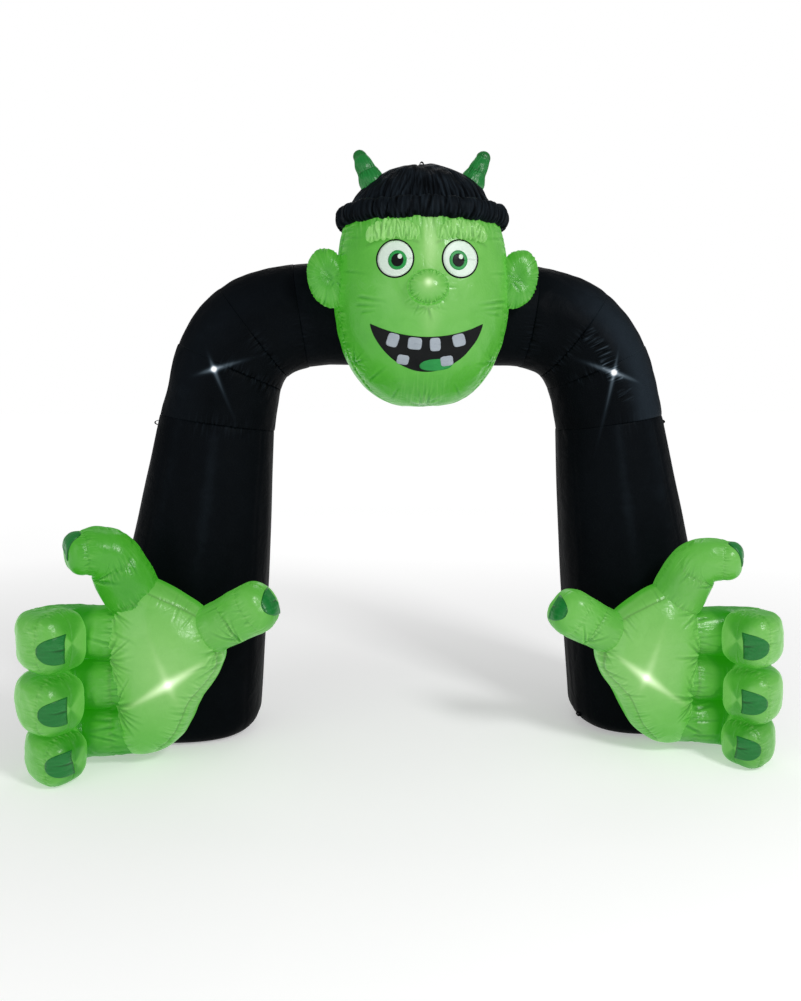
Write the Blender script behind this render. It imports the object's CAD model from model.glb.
"""Looks of an inflatable walk-through arch: black arch tube on two feet, two large green hands, monster head.

Each sewn piece is a surface worked out with numpy in the sizes that its solid has, then drawn in at its
seams, gathered and creased. Part coordinates are the source's own: x to the right-hand leg, y to the back,
z up, and ROOT moves them into the frame.
"""
import math

import bpy
import numpy as np
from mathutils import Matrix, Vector


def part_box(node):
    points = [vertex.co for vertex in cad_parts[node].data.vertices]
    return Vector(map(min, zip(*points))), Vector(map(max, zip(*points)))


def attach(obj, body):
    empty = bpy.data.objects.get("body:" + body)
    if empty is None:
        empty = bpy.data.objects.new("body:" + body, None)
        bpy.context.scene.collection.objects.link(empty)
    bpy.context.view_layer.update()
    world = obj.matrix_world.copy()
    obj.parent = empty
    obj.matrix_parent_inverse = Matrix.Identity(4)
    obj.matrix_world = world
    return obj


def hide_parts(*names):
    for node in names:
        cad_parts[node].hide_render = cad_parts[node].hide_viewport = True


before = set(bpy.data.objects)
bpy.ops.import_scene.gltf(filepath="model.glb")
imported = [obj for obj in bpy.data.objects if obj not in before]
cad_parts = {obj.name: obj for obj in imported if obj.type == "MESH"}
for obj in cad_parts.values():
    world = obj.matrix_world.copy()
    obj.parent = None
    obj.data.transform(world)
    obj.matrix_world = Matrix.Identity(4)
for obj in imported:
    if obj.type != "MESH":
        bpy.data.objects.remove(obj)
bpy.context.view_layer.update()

TAU = 2 * math.pi

# Arch tube, in the part's sizes
FOOT_X = 1.032
FOOT_HALF_WIDTH = 0.337
FOOT_HALF_DEPTH = 0.300
FOOT_EDGE_RADIUS = 0.085
FOOT_SQUARENESS = 2.7
LEG_TOP_X = 0.838
LEG_TOP_Z = 1.320
LEG_TOP_HALF_WIDTH = 0.235
LEG_TOP_HALF_DEPTH = 0.237
LEG_BELLY = 0.006
CROWN_X = 0.360
CROWN_Z = 1.772
CROWN_HALF_SIZE = 0.210
ELBOW_HANDLE_LOW = 0.268
ELBOW_HANDLE_HIGH = 0.365
ELBOW_SEAMS = (0.0, 0.33, 0.60, 0.88)
ARCH_COLUMNS = 180

SIDES = (
    # name, sign of x, section scale, hand scale, palm centre x, y set forward, palm centre z
    ("left", -1, 1.030, 1.035, -0.993, -0.015, 0.386),
    ("right", 1, 0.970, 0.965, 0.906, 0.0, 0.362),
)
# Each hand's scale, palm centre x, y set forward and palm centre z, by the sign of x
HAND_PLACES = {sign: place for _, sign, _, *place in SIDES}

# Hands, in their own plane: u away from the walkway, y to the back, v up
PALM_Y = -0.400
PALM_HALF_THICKNESS = 0.155
PALM_HEART = (0.030, -0.010)
PALM_OUTLINE = (
    (0.047, 0.332), (-0.060, 0.275), (-0.150, 0.200), (-0.214, 0.070), (-0.190, -0.030),
    (-0.126, -0.125), (-0.050, -0.270), (0.045, -0.338), (0.150, -0.335), (0.192, -0.240),
    (0.196, -0.100), (0.214, 0.030), (0.222, 0.150), (0.180, 0.260), (0.115, 0.315),
)
PALM_FULLNESS = 0.72
CURL_RADIUS = 0.108
CURL_TURN = 150.0
FINGER_ROOT_U = 0.080
FINGER_Y = -0.405
CURLED_FINGERS = (
    # name, v at root, v at tip, reach, root radius, tip radius
    ("finger_upper", 0.128, 0.148, 0.430, 0.090, 0.110),
    ("finger_middle", -0.056, -0.082, 0.431, 0.088, 0.104),
    ("finger_lower", -0.236, -0.279, 0.412, 0.087, 0.0885),
)
OPEN_FINGERS = (
    # name, knots (u, y, v), root radius, tip radius, distance of its root seam, distance of its bend
    ("finger_index", ((0.070, -0.400, 0.150), (0.127, -0.410, 0.285), (0.176, -0.430, 0.405),
                      (0.232, -0.455, 0.442), (0.284, -0.480, 0.444)), 0.101, 0.079, 0.118, 0.262),
    ("thumb", ((-0.060, -0.400, 0.085), (-0.150, -0.420, 0.130), (-0.250, -0.450, 0.180),
               (-0.332, -0.480, 0.218)), 0.085, 0.099, 0.108, 0.232),
)
NAILS = (
    # finger, facing, free edge direction, length, width, centre offset along the free edge
    ("finger_upper", (0.10, -1.0, -0.10), (-1.0, 0.0, -0.05), 0.086, 0.102, 0.016),
    ("finger_middle", (0.10, -1.0, -0.05), (-1.0, 0.0, -0.03), 0.084, 0.098, 0.022),
    ("finger_lower", (0.12, -1.0, 0.00), (-1.0, 0.0, 0.00), 0.080, 0.094, 0.018),
    ("finger_index", (0.50, -0.46, 0.73), (0.70, 0.0, -0.60), 0.092, 0.092, 0.000),
    ("thumb", (-0.74, -0.60, 0.26), (-0.52, 0.76, 0.20), 0.090, 0.106, 0.004),
)

# Head
HEAD_X = 0.012
HEAD_Y = -0.200
HEAD_Z = 1.830
HEAD_HALF_WIDTH = 0.350
HEAD_HALF_DEPTH = 0.340
HEAD_DROP = 0.442
HEAD_RISE = 0.500
HEAD_FULLNESS = 0.75
HEAD_SQUARENESS = 2.15
CAP_LEVEL = 36.9
CAP_PROUD = 0.008
BRIM_HALF_HEIGHT = 0.040
BRIM_THICKNESS = 0.048
HORN_FOOT = (0.165, -0.02, 2.205)
HORN_LEAN = 26.0
HORN_LENGTH = 0.180
HORN_FOOT_RADIUS = 0.070
HORN_TIP_RADIUS = 0.028
HORN_RINGS = 3
EAR_PLACE = (0.372, -0.092, 1.890)
EAR_HALF_SIZE = (0.082, 0.052, 0.118)
EAR_TILT = 14.0
NOSE_PLACE = (0.0, -0.345, 1.832)
NOSE_HALF_SIZE = (0.078, 0.072, 0.066)
BROW_CENTRE = (0.128, -0.302, 2.026)
BROW_HALF_LENGTH = 0.100
BROW_RADIUS = 0.026
BROW_RISE = 0.022
BROW_SWEEP = 0.050

# Webbing loops
WEB_WIDTH = 0.022
WEB_THICKNESS = 0.0025
LOOP_REACH = 0.022
LOOP_HALF_HEIGHT = 0.011

cap_low, cap_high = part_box("cap")
ROOT = np.array([(cap_low.x + cap_high.x) / 2 - HEAD_X, (cap_low.y + cap_high.y) / 2 - HEAD_Y, 0.0])
HEAD_PLACE = np.array([HEAD_X, HEAD_Y, 0.0])


# Surfaces

def unit(vectors):
    """Vectors of length one, along the last axis."""
    return vectors / np.linalg.norm(vectors, axis=-1, keepdims=True)


def bell(distance, reach):
    """1 on a line, falling as a bell curve with the distance from it."""
    return np.exp(-(distance / reach) ** 2)


def ease(low, high, value):
    """0 below low, 1 above high, and a smooth S between them."""
    part = np.clip((value - low) / (high - low), 0, 1)
    return part * part * (3 - 2 * part)


def spline(points, count, closed=False):
    """Catmull-Rom curve through the points, read at evenly spaced parameters."""
    points = np.asarray(points, float)
    last = len(points) if closed else len(points) - 1
    place = np.linspace(0, last, count, endpoint=not closed)
    start = np.minimum(place.astype(int), last - 1)
    t = (place - start)[:, None]

    def knot(offset):
        index = start + offset
        return points[index % len(points)] if closed else points[np.clip(index, 0, len(points) - 1)]

    before, here, after, beyond = knot(-1), knot(0), knot(1), knot(2)
    return 0.5 * (2 * here + (after - before) * t + (2 * before - 5 * here + 4 * after - beyond) * t**2
                  + (3 * here - before - 3 * after + beyond) * t**3)


def turns(columns, crowd=0.0):
    """Angles of the columns round a piece: 0 is its front, where they stand closer by the crowd share."""
    even = np.linspace(-math.pi, math.pi, columns, endpoint=False)
    return even - crowd * np.sin(even)


def round_square(turn, squareness=2.0):
    """Sine and cosine of the angle, pushed out to a superellipse of that exponent."""
    sine, cosine = np.sin(turn), np.cos(turn)
    reach = (np.abs(sine) ** squareness + np.abs(cosine) ** squareness) ** (-1 / squareness)
    return sine * reach, cosine * reach


def dense_at(ends, length, fine, coarse, reach):
    """Places from 0 to length: steps are fine near the given ends and widen to coarse beyond reach."""
    place = np.linspace(0, length, 4000)
    near = np.min([np.abs(place - end) for end in ends], axis=0)
    step = fine + (coarse - fine) * ease(0.4 * reach, 1.6 * reach, near)
    count = np.concatenate([[0], np.cumsum(np.diff(place) / step[1:])])
    return np.interp(np.linspace(0, count[-1], int(round(count[-1])) + 1), count, place)


def beside(first, second, knots, count=48):
    """Run along a curve through the knots and signed distance off it, for places on two coordinates."""
    line = spline(knots, count)
    starts, ways = line[:-1], np.diff(line, axis=0)
    lengths = np.linalg.norm(ways, axis=1)
    runs = np.cumsum(lengths) - lengths
    away = np.stack([first, second], axis=-1)[..., None, :] - starts
    part = np.clip((away * ways).sum(axis=-1) / lengths**2, 0, 1)
    distance = np.linalg.norm(away - part[..., None] * ways, axis=-1)
    nearest = distance.argmin(axis=-1)[..., None]

    def pick(values):
        return np.take_along_axis(values, nearest, axis=-1)[..., 0]

    side = np.sign(ways[:, 0] * away[..., 1] - ways[:, 1] * away[..., 0])
    return pick(runs + part * lengths), pick(side * distance)


def run_along(grid):
    """Distance run along each column of the grid, from its first row."""
    steps = np.linalg.norm(np.diff(grid, axis=0), axis=-1)
    return np.concatenate([np.zeros((1, grid.shape[1])), np.cumsum(steps, axis=0)])


def outwards(grid):
    """Unit normals of a grid (row, column, xyz) closed round its columns, away from each row's middle."""
    around = np.roll(grid, -1, axis=1) - np.roll(grid, 1, axis=1)
    along = np.gradient(grid, axis=0)
    normals = np.cross(around, along)
    normals /= np.maximum(np.linalg.norm(normals, axis=-1, keepdims=True), 1e-12)
    away = np.sum(normals * (grid - grid.mean(axis=(0, 1))), axis=-1).mean()
    return normals if away > 0 else -normals


def unevenness(points, length, seed, waves=10):
    """Smooth unevenness of about -1 to 1: plane waves of about that length in seeded directions, added up."""
    dice = np.random.default_rng(seed)
    directions = unit(dice.normal(size=(waves, 3))) / (length * dice.uniform(0.7, 1.5, (waves, 1)))
    phases = dice.uniform(0, TAU, waves)
    return np.sin(TAU * points @ directions.T + phases).sum(axis=-1) / math.sqrt(waves)


def creases(first, second, table):
    """Height of creases drawn in two surface coordinates, below zero in their troughs.

    A row of the table is a start, an end, a width and a depth. Across its line a crease is a bell-shaped
    trough with a lower ridge at each side. Along it, it is deepest near its start and runs out to nothing.
    """
    height = np.zeros(np.broadcast(first, second).shape)
    for a_start, b_start, a_end, b_end, width, depth in table:
        run = math.hypot(a_end - a_start, b_end - b_start)
        a_way, b_way = (a_end - a_start) / run, (b_end - b_start) / run
        along = ((first - a_start) * a_way + (second - b_start) * b_way) / run
        off = ((first - a_start) * b_way - (second - b_start) * a_way) / width
        lasting = np.clip(1 + along * 5, 0, 1) * np.clip(1 - along, 0, 1) ** 0.8
        height -= depth * lasting * (np.exp(-off**2) - 0.42 * np.exp(-(np.abs(off) - 1.7) ** 2 / 0.5))
    return height


def gathers(start, end, spacing, reach, width, depth, seed, both_sides=True, at=0.0):
    """Crease table of gathers across a straight seam at second coordinate `at`, from start to end.

    Steps, lengths, slants and depths are uneven, seeded, and the gathers leave the seam to either side.
    """
    dice = np.random.default_rng(seed)
    places = start + np.cumsum(spacing * dice.uniform(0.45, 1.55, int(abs(end - start) / spacing)))
    ways = dice.choice((-1, 1), len(places)) if both_sides else np.ones(len(places))
    lengths = reach * dice.uniform(0.35, 1.3, len(places))
    slants = dice.normal(0, 0.22, len(places)) * lengths
    widths = width * dice.uniform(0.7, 1.3, len(places))
    depths = depth * dice.uniform(0.4, 1.3, len(places))
    return np.stack([places, np.full(len(places), at), places + slants, at + ways * lengths, widths, depths],
                    axis=1)


def fan(centre, heading, spread, inner, outer, count, width, depth, seed):
    """Crease table of gathers that spread out from a point, such as a web between two fingers."""
    dice = np.random.default_rng(seed)
    angles = np.radians(heading + np.linspace(-spread, spread, count) + dice.normal(0, spread / count, count))
    lengths = outer * dice.uniform(0.5, 1.15, count)
    ways = np.stack([np.cos(angles), np.sin(angles)], axis=1)
    starts = np.array(centre) + ways * inner
    ends = np.array(centre) + ways * lengths[:, None]
    return np.concatenate([starts, ends, width * dice.uniform(0.7, 1.3, (count, 1)),
                           depth * dice.uniform(0.5, 1.2, (count, 1))], axis=1)


# Meshes

def make_piece(name, points, faces, corners, layers, material):
    """A smooth mesh from points, faces and a UV for each face corner, with its volume turned positive."""
    triangles = [points[faces[:, [0, 1, 2]]], points[faces[:, [0, 2, 3]]]]
    volume = sum(np.einsum("ij,ij->", t[:, 0], np.cross(t[:, 1], t[:, 2])) for t in triangles)
    if volume < 0:
        faces, corners = faces[:, ::-1], corners[:, ::-1]
    single = faces[:, 3] == faces[:, 2] if volume >= 0 else faces[:, 0] == faces[:, 1]
    keep = np.ones(faces.shape, bool)
    keep[single, 3 if volume >= 0 else 0] = False
    totals = keep.sum(axis=1)
    mesh = bpy.data.meshes.new(name)
    mesh.vertices.add(len(points))
    mesh.vertices.foreach_set("co", points.astype(np.float32).ravel())
    mesh.loops.add(int(totals.sum()))
    mesh.loops.foreach_set("vertex_index", faces[keep].astype(np.int32))
    mesh.polygons.add(len(faces))
    mesh.polygons.foreach_set("loop_start", (np.cumsum(totals) - totals).astype(np.int32))
    mesh.uv_layers.new(name="cloth")
    mesh.uv_layers["cloth"].data.foreach_set("uv", corners[keep].astype(np.float32).ravel())
    for layer, values in layers.items():
        mesh.attributes.new(layer, "FLOAT", "POINT").data.foreach_set("value", values.astype(np.float32))
    mesh.update(calc_edges=True)
    mesh.validate()
    mesh.shade_smooth()
    mesh.materials.append(material)
    piece = bpy.data.objects.new(name, mesh)
    bpy.context.scene.collection.objects.link(piece)
    return piece


def closed_skin(name, grid, around, along, layers, material):
    """A closed skin over a grid (row, column, xyz): quads between rows, and a fan to the middle of each end.

    around and along are the cloth's own coordinates in metres, which become its UV map.
    """
    rows, columns, _ = grid.shape
    points = np.concatenate([grid.reshape(-1, 3), grid[0].mean(0)[None], grid[-1].mean(0)[None]])
    row, column = np.arange(rows - 1)[:, None] * columns, np.arange(columns)[None]
    beside = (column + 1) % columns
    quads = np.stack([row + column, row + beside, row + columns + beside, row + columns + column], axis=-1)
    last = (rows - 1) * columns
    ends = [np.stack([beside[0], column[0], np.full(columns, rows * columns)], axis=-1),
            np.stack([last + column[0], last + beside[0], np.full(columns, rows * columns + 1)], axis=-1)]
    doubled = [np.concatenate([end, end[:, 2:]], axis=1) for end in ends]
    faces = np.concatenate([quads.reshape(-1, 4)] + doubled)
    step = around[:, -1:] + (around[:, 1:2] - around[:, :1])
    flat = np.stack([np.concatenate([around, step], axis=1),
                     np.concatenate([along, along[:, :1]], axis=1)], axis=-1)
    quad_corners = np.stack([flat[:-1, :-1], flat[:-1, 1:], flat[1:, 1:], flat[1:, :-1]], axis=2)
    quad_corners = quad_corners.reshape(-1, 4, 2)
    first = np.stack([flat[0, 1:], flat[0, :-1], (flat[0, 1:] + flat[0, :-1]) / 2], axis=1)
    final = np.stack([flat[-1, :-1], flat[-1, 1:], (flat[-1, 1:] + flat[-1, :-1]) / 2], axis=1)
    end_corners = [np.concatenate([end, end[:, 2:]], axis=1) for end in (first, final)]
    values = {}
    for layer, value in layers.items():
        value = np.broadcast_to(value, (rows, columns))
        values[layer] = np.concatenate([value.ravel(), [value[0].mean(), value[-1].mean()]])
    return make_piece(name, points, faces, np.concatenate([quad_corners] + end_corners), values, material)


def thin_patch(name, top, bottom, around, along, layers, material):
    """A thin closed patch between two open grids (row, column, xyz) of the same outline."""
    rows, columns, _ = top.shape
    count = rows * columns
    points = np.concatenate([top.reshape(-1, 3), bottom.reshape(-1, 3)])
    index = np.arange(count).reshape(rows, columns)
    upper = np.stack([index[:-1, :-1], index[:-1, 1:], index[1:, 1:], index[1:, :-1]], axis=-1).reshape(-1, 4)
    rim = np.concatenate([index[0, :-1], index[:-1, -1], index[-1, :0:-1], index[:0:-1, 0]])
    following = np.roll(rim, -1)
    wall = np.stack([following, rim, rim + count, following + count], axis=-1)
    faces = np.concatenate([upper, upper[:, ::-1] + count, wall])
    flat = np.tile(np.stack([around, along], axis=-1).reshape(-1, 2), (2, 1))
    values = {layer: np.tile(np.broadcast_to(value, (rows, columns)).ravel(), 2)
              for layer, value in layers.items()}
    return make_piece(name, points, faces, flat[faces], values, material)


def wear(piece, node):
    """Let a piece stand for its solid: it rides on the arch, takes a finish and is padded if filled."""
    if node:
        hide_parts(node)
    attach(piece, "root")
    return piece


def sew(node, grid, relief, folds, full_fold, around, along, material, fill, put, closing=1.0, **layers):
    """Raise a grid by its relief and folds, put it in the frame and let it stand for its solid.

    Closing fades the relief out where the piece ends. A fold of full_fold counts as a whole one in the fold
    layer. The cloth's finish is named as its slot is. Returns the raised grid in its own coordinates.
    """
    shaped = grid + outwards(grid) * ((relief + folds) * closing)[..., None]
    layers = {"run": around, "off": along, "glow": 0.0, **layers, "fold": np.clip(folds / full_fold, -1, 1)}
    piece = closed_skin(f"{node}_cloth", put(shaped), around, along, layers, material)
    wear(piece, node)
    return shaped


def to_frame(points):
    """Part coordinates to the frame."""
    return points + ROOT


def to_hand(points, sign):
    """Hand coordinates (u, y, v) to the frame: scaled about the palm's middle, mirrored and set in place."""
    scale, palm_x, forward, palm_z = HAND_PLACES[sign]
    placed = points * scale * (sign, 1, 1) + (palm_x, PALM_Y * (1 - scale) + forward, palm_z)
    return placed + ROOT


def to_head(points, sign=1):
    """Head coordinates to the frame, mirrored for the -x side."""
    return points * (sign, 1, 1) + HEAD_PLACE + ROOT


# Materials

def feed(tree, source, target):
    """Give an input a number, a vector or another node's output."""
    if isinstance(source, (int, float)):
        target.default_value = source
    elif isinstance(source, (tuple, list, np.ndarray)):
        target.default_value = [float(value) for value in source]
    else:
        tree.links.new(source, target)


def add_node(tree, kind, output, inputs, **settings):
    """A node with its settings made and its inputs fed, by name or number: the output asked for."""
    node = tree.nodes.new("ShaderNode" + kind)
    for setting, value in settings.items():
        setattr(node, setting, value)
    for socket, value in inputs.items():
        feed(tree, value, node.inputs[socket])
    return node.outputs[output]


def calc(tree, operation, *values):
    """A Math node's output, from sockets or numbers."""
    return add_node(tree, "Math", 0, dict(enumerate(values)), operation=operation)


def vector(tree, operation, output, *values):
    """A Vector Math node's named output, from sockets or vectors."""
    return add_node(tree, "VectorMath", output, dict(enumerate(values)), operation=operation)


def ramp(tree, factor, stops):
    """A colour ramp from (place, linear colour) stops."""
    node = tree.nodes.new("ShaderNodeValToRGB")
    elements = node.color_ramp.elements
    while len(elements) < len(stops):
        elements.new(0.5)
    for element, (place, colour) in zip(elements, stops):
        element.position = place
        element.color = (*colour, 1.0)
    feed(tree, factor, node.inputs["Fac"])
    return node.outputs["Color"]


def blended(tree, kind, factor, first, second):
    """A colour Mix node of the given kind."""
    return add_node(tree, "Mix", 2, {0: factor, 6: first, 7: second}, data_type="RGBA", blend_type=kind)


def layer_value(tree, name):
    """A layer of the mesh, such as its seams or its glow, as a number."""
    return add_node(tree, "Attribute", "Fac", {}, attribute_name=name)


def noise(tree, place, scale, detail=2.0, distortion=0.0):
    """A noise texture's value."""
    return add_node(tree, "TexNoise", "Fac",
                    {"Scale": scale, "Detail": detail, "Distortion": distortion, "Vector": place})


def weave(tree, cloth, thread):
    """Height of a plain weave: the product of two wave patterns, one for each run of threads."""
    inputs = {"Scale": 1 / (20 * thread), "Distortion": 0.0, "Vector": cloth}
    waves = [add_node(tree, "TexWave", "Fac", inputs, bands_direction=way) for way in "XY"]
    return calc(tree, "MULTIPLY", *waves)


def bumped(tree, height, strength, distance, normal=None):
    """A normal turned by a height in metres."""
    inputs = {"Strength": strength, "Distance": distance, "Height": height}
    if normal is not None:
        inputs["Normal"] = normal
    return add_node(tree, "Bump", "Normal", inputs)


def new_material(name, roughness, specular):
    """A material, its tree, its shader's inputs with the finish set, and its object and cloth coordinates."""
    material = bpy.data.materials.new(name)
    material.use_nodes = True
    tree = material.node_tree
    inputs = tree.nodes["Principled BSDF"].inputs
    inputs["Roughness"].default_value = roughness
    inputs["Specular IOR Level"].default_value = specular
    places = tree.nodes.new("ShaderNodeTexCoord").outputs
    return material, tree, inputs, places["Object"], places["UV"]


STREAK_DEPTH = 0.33         # how much depth counts off a lamp's line
STREAK_FADING = 1.9
PULL_STEPS = 95.0           # pull lines a metre, across them
PULL_RUNS = 11.0            # and along them
THREAD = 0.0012


def lamp_glow(tree, spot, lamps):
    """Light of the lamps behind the cloth: a small core each, and streaks along the weave's two directions.

    A streak falls off as an exponential along its line and as a bell across it, and thins as it fades. Its
    reach differs to each side of the core. Depth counts for less, so the streak lies on curved cloth.
    """
    total = 0.0
    for centre, core, core_strength, streaks in lamps:
        away = vector(tree, "SUBTRACT", "Vector", spot, centre)
        away = vector(tree, "MULTIPLY", "Vector", away, (1.0, STREAK_DEPTH, 1.0))
        distance = vector(tree, "LENGTH", "Value", away)
        squared = calc(tree, "MULTIPLY", distance, distance)
        light = calc(tree, "EXPONENT", calc(tree, "MULTIPLY", squared, -1 / core**2))
        total = calc(tree, "MULTIPLY_ADD", light, core_strength, total)
        for direction, reach, back_reach, width, strength in streaks:
            along = vector(tree, "DOT_PRODUCT", "Value", away, direction)
            spent = calc(tree, "MAXIMUM", calc(tree, "MULTIPLY", along, 1 / reach),
                         calc(tree, "MULTIPLY", along, -1 / back_reach))
            fading = calc(tree, "EXPONENT", calc(tree, "MULTIPLY", spent, -STREAK_FADING))
            thick = calc(tree, "MULTIPLY_ADD", fading, width / 2, width / 2)
            off = calc(tree, "SUBTRACT", squared, calc(tree, "MULTIPLY", along, along))
            off = calc(tree, "DIVIDE", off, calc(tree, "MULTIPLY", thick, thick))
            across = calc(tree, "EXPONENT", calc(tree, "MULTIPLY", off, -1.0))
            light = calc(tree, "MULTIPLY", calc(tree, "MULTIPLY", across, fading), strength)
            total = calc(tree, "ADD", light, total)
    return total


def inflated_cloth(name, shades, lit_shades, seam_shade, glow_stops, lamps, roughness, specular, fold_weight,
                   pull_shine):
    """Thin woven polyester held tight by air and lit from inside.

    Shades (the cloth's own colour) and lit_shades (lamp light through it) run from loose, doubled or folded
    cloth to tight single cloth, by the lit and fold layers and slow noise. Seams are darker where the cloth
    lies double. The glow layer and the lamps add whiter light. Weave, crumpling and fine pull lines, which
    run off the seams by the run, off and near layers, are relief in the normals.
    """
    material, tree, inputs, spot, cloth = new_material(name, roughness, specular)
    pull_place = {"X": calc(tree, "MULTIPLY", layer_value(tree, "run"), PULL_STEPS),
                  "Y": calc(tree, "MULTIPLY", layer_value(tree, "off"), PULL_RUNS)}
    pulls = noise(tree, add_node(tree, "CombineXYZ", "Vector", pull_place), 1.0, 2.0, 0.4)
    pulls = calc(tree, "MULTIPLY", calc(tree, "SUBTRACT", pulls, 0.5), layer_value(tree, "near"))
    tone = calc(tree, "MULTIPLY_ADD", noise(tree, spot, 2.6, 3.0), 0.30, -0.15)
    tone = calc(tree, "ADD", tone, calc(tree, "MULTIPLY_ADD", noise(tree, spot, 17.0, 4.0, 0.8), 0.22, -0.11))
    tone = calc(tree, "ADD", tone, layer_value(tree, "lit"))
    tone = calc(tree, "MULTIPLY_ADD", layer_value(tree, "fold"), fold_weight, tone)
    tone = calc(tree, "MULTIPLY_ADD", pulls, 0.60, tone)
    seam = layer_value(tree, "seam")
    feed(tree, blended(tree, "MIX", seam, ramp(tree, tone, shades), (*seam_shade, 1.0)), inputs["Base Color"])
    lit_seam = [value * 0.62 for value in lit_shades[1][1]]
    through = blended(tree, "MIX", seam, ramp(tree, tone, lit_shades), (*lit_seam, 1.0))
    glow = calc(tree, "ADD", layer_value(tree, "glow"), lamp_glow(tree, spot, lamps))
    glow = calc(tree, "MULTIPLY_ADD", calc(tree, "MAXIMUM", pulls, 0.0), pull_shine, glow)
    feed(tree, blended(tree, "ADD", 1.0, through, ramp(tree, glow, glow_stops)), inputs["Emission Color"])
    inputs["Emission Strength"].default_value = 1.0
    normal = bumped(tree, noise(tree, spot, 11.0, 3.0, 0.8), 0.5, 0.010)
    normal = bumped(tree, noise(tree, spot, 42.0, 2.0, 1.2), 0.5, 0.0022, normal)
    normal = bumped(tree, pulls, 0.8, 0.0070, normal)
    feed(tree, bumped(tree, weave(tree, cloth, THREAD), 0.25, 0.0002, normal), inputs["Normal"])
    return material


def printed_cloth(name, colour, dark, roughness=0.45, specular=0.25):
    """A flat print or cloth patch: one colour with slight wear and the weave showing through."""
    material, tree, inputs, spot, cloth = new_material(name, roughness, specular)
    feed(tree, ramp(tree, noise(tree, spot, 14.0, 4.0), ((0.3, dark), (0.7, colour))), inputs["Base Color"])
    normal = bumped(tree, noise(tree, spot, 16.0, 3.0, 0.5), 0.4, 0.004)
    feed(tree, bumped(tree, weave(tree, cloth, THREAD), 0.3, 0.0002, normal), inputs["Normal"])
    return material


def woven_webbing(name):
    """Narrow black webbing: ribs across it and a slight nap."""
    material, tree, inputs, spot, cloth = new_material(name, 0.80, 0.05)
    stops = ((0.3, (0.0010, 0.0010, 0.0013)), (0.7, (0.0035, 0.0035, 0.0042)))
    feed(tree, ramp(tree, noise(tree, spot, 160.0, 3.0), stops), inputs["Base Color"])
    feed(tree, bumped(tree, weave(tree, cloth, 0.002), 0.8, 0.0006), inputs["Normal"])
    return material


# Lamps behind the cloth, by the sign of x: core, its depth y, then each streak's two ends, width and strength

SHOULDER_LAMPS = {
    # places (x, z) of the +x side
    -1: ((0.819, 1.539), -0.232, (((0.655, 1.586), (0.930, 1.506), 0.0120, 0.62),
                                  ((0.765, 1.385), (0.860, 1.630), 0.0105, 0.45))),
    1: ((0.799, 1.527), -0.230, (((0.590, 1.592), (0.950, 1.466), 0.0120, 0.62),
                                 ((0.741, 1.290), (0.812, 1.640), 0.0095, 0.48))),
}
PALM_FRONT = PALM_Y - 0.97 * PALM_HALF_THICKNESS
PALM_LAMPS = {
    # places (u, v)
    -1: ((-0.023, -0.034), PALM_FRONT, (((0.165, -0.128), (-0.205, 0.084), 0.0200, 0.62),
                                        ((0.045, 0.135), (-0.070, -0.175), 0.0180, 0.16))),
    1: ((-0.039, -0.020), PALM_FRONT, (((-0.175, 0.086), (0.150, -0.148), 0.0190, 0.62),
                                       ((0.062, 0.220), (-0.065, -0.140), 0.0170, 0.16))),
}


def lamps_behind(table, put, core_reach, core_strength):
    """Lamps in the frame: centre, core, and each streak's way, reach to either end, width and strength."""
    lamps = []
    for sign, (core, depth, streaks) in table.items():
        centre, rows = put(sign, core, depth), []
        for first, second, width, strength in streaks:
            first, second = put(sign, first, depth), put(sign, second, depth)
            way = unit(first - second)
            rows.append((way, float((first - centre) @ way), float((centre - second) @ way), width, strength))
        lamps.append((centre, core_reach, core_strength, rows))
    return lamps


def on_shoulder(sign, place, depth):
    """A place (x, z) of an elbow's front, in the frame."""
    return to_frame(np.array((sign * place[0], depth, place[1])))


def on_palm(sign, place, depth):
    """A place (u, v) of a palm's front, in the frame."""
    return to_hand(np.array((place[0], depth, place[1])), sign)


BLACK = inflated_cloth(
    "black_cloth",
    ((0.0, (0.0008, 0.0010, 0.0012)), (0.5, (0.0030, 0.0040, 0.0050)), (1.0, (0.0090, 0.0125, 0.0165))),
    ((0.0, (0.0, 0.0, 0.0)), (0.5, (0.0004, 0.0006, 0.0010)), (1.0, (0.0025, 0.0040, 0.0055))),
    (0.0003, 0.0004, 0.0005),
    ((0.0, (0.0, 0.0, 0.0)), (0.12, (0.006, 0.009, 0.012)), (0.35, (0.055, 0.075, 0.092)),
     (0.65, (0.30, 0.36, 0.42)), (1.0, (1.0, 1.0, 1.0))),
    lamps_behind(SHOULDER_LAMPS, on_shoulder, 0.0090, 0.9), 0.46, 0.014, 0.50, 0.60)
GREEN = inflated_cloth(
    "green_cloth",
    ((0.0, (0.006, 0.055, 0.002)), (0.5, (0.048, 0.140, 0.022)), (1.0, (0.125, 0.225, 0.080))),
    ((0.0, (0.010, 0.185, 0.002)), (0.5, (0.028, 0.262, 0.008)), (1.0, (0.062, 0.335, 0.026))),
    (0.020, 0.080, 0.008),
    ((0.0, (0.0, 0.0, 0.0)), (0.25, (0.130, 0.112, 0.090)), (0.60, (0.50, 0.46, 0.38)), (1.0, (1.0, 1.0,
                                                                                               0.92))),
    lamps_behind(PALM_LAMPS, on_palm, 0.0080, 0.30), 0.31, 0.42, 0.40, 0.60)
DARK_GREEN = inflated_cloth(
    "dark_green_cloth",
    ((0.0, (0.001, 0.030, 0.005)), (0.5, (0.004, 0.075, 0.016)), (1.0, (0.020, 0.130, 0.040))),
    ((0.0, (0.001, 0.045, 0.004)), (0.5, (0.002, 0.100, 0.011)), (1.0, (0.006, 0.150, 0.020))),
    (0.001, 0.030, 0.004), ((0.0, (0.0, 0.0, 0.0)), (1.0, (0.20, 0.30, 0.20))), (), 0.34, 0.38, 0.40, 0.20)
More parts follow.
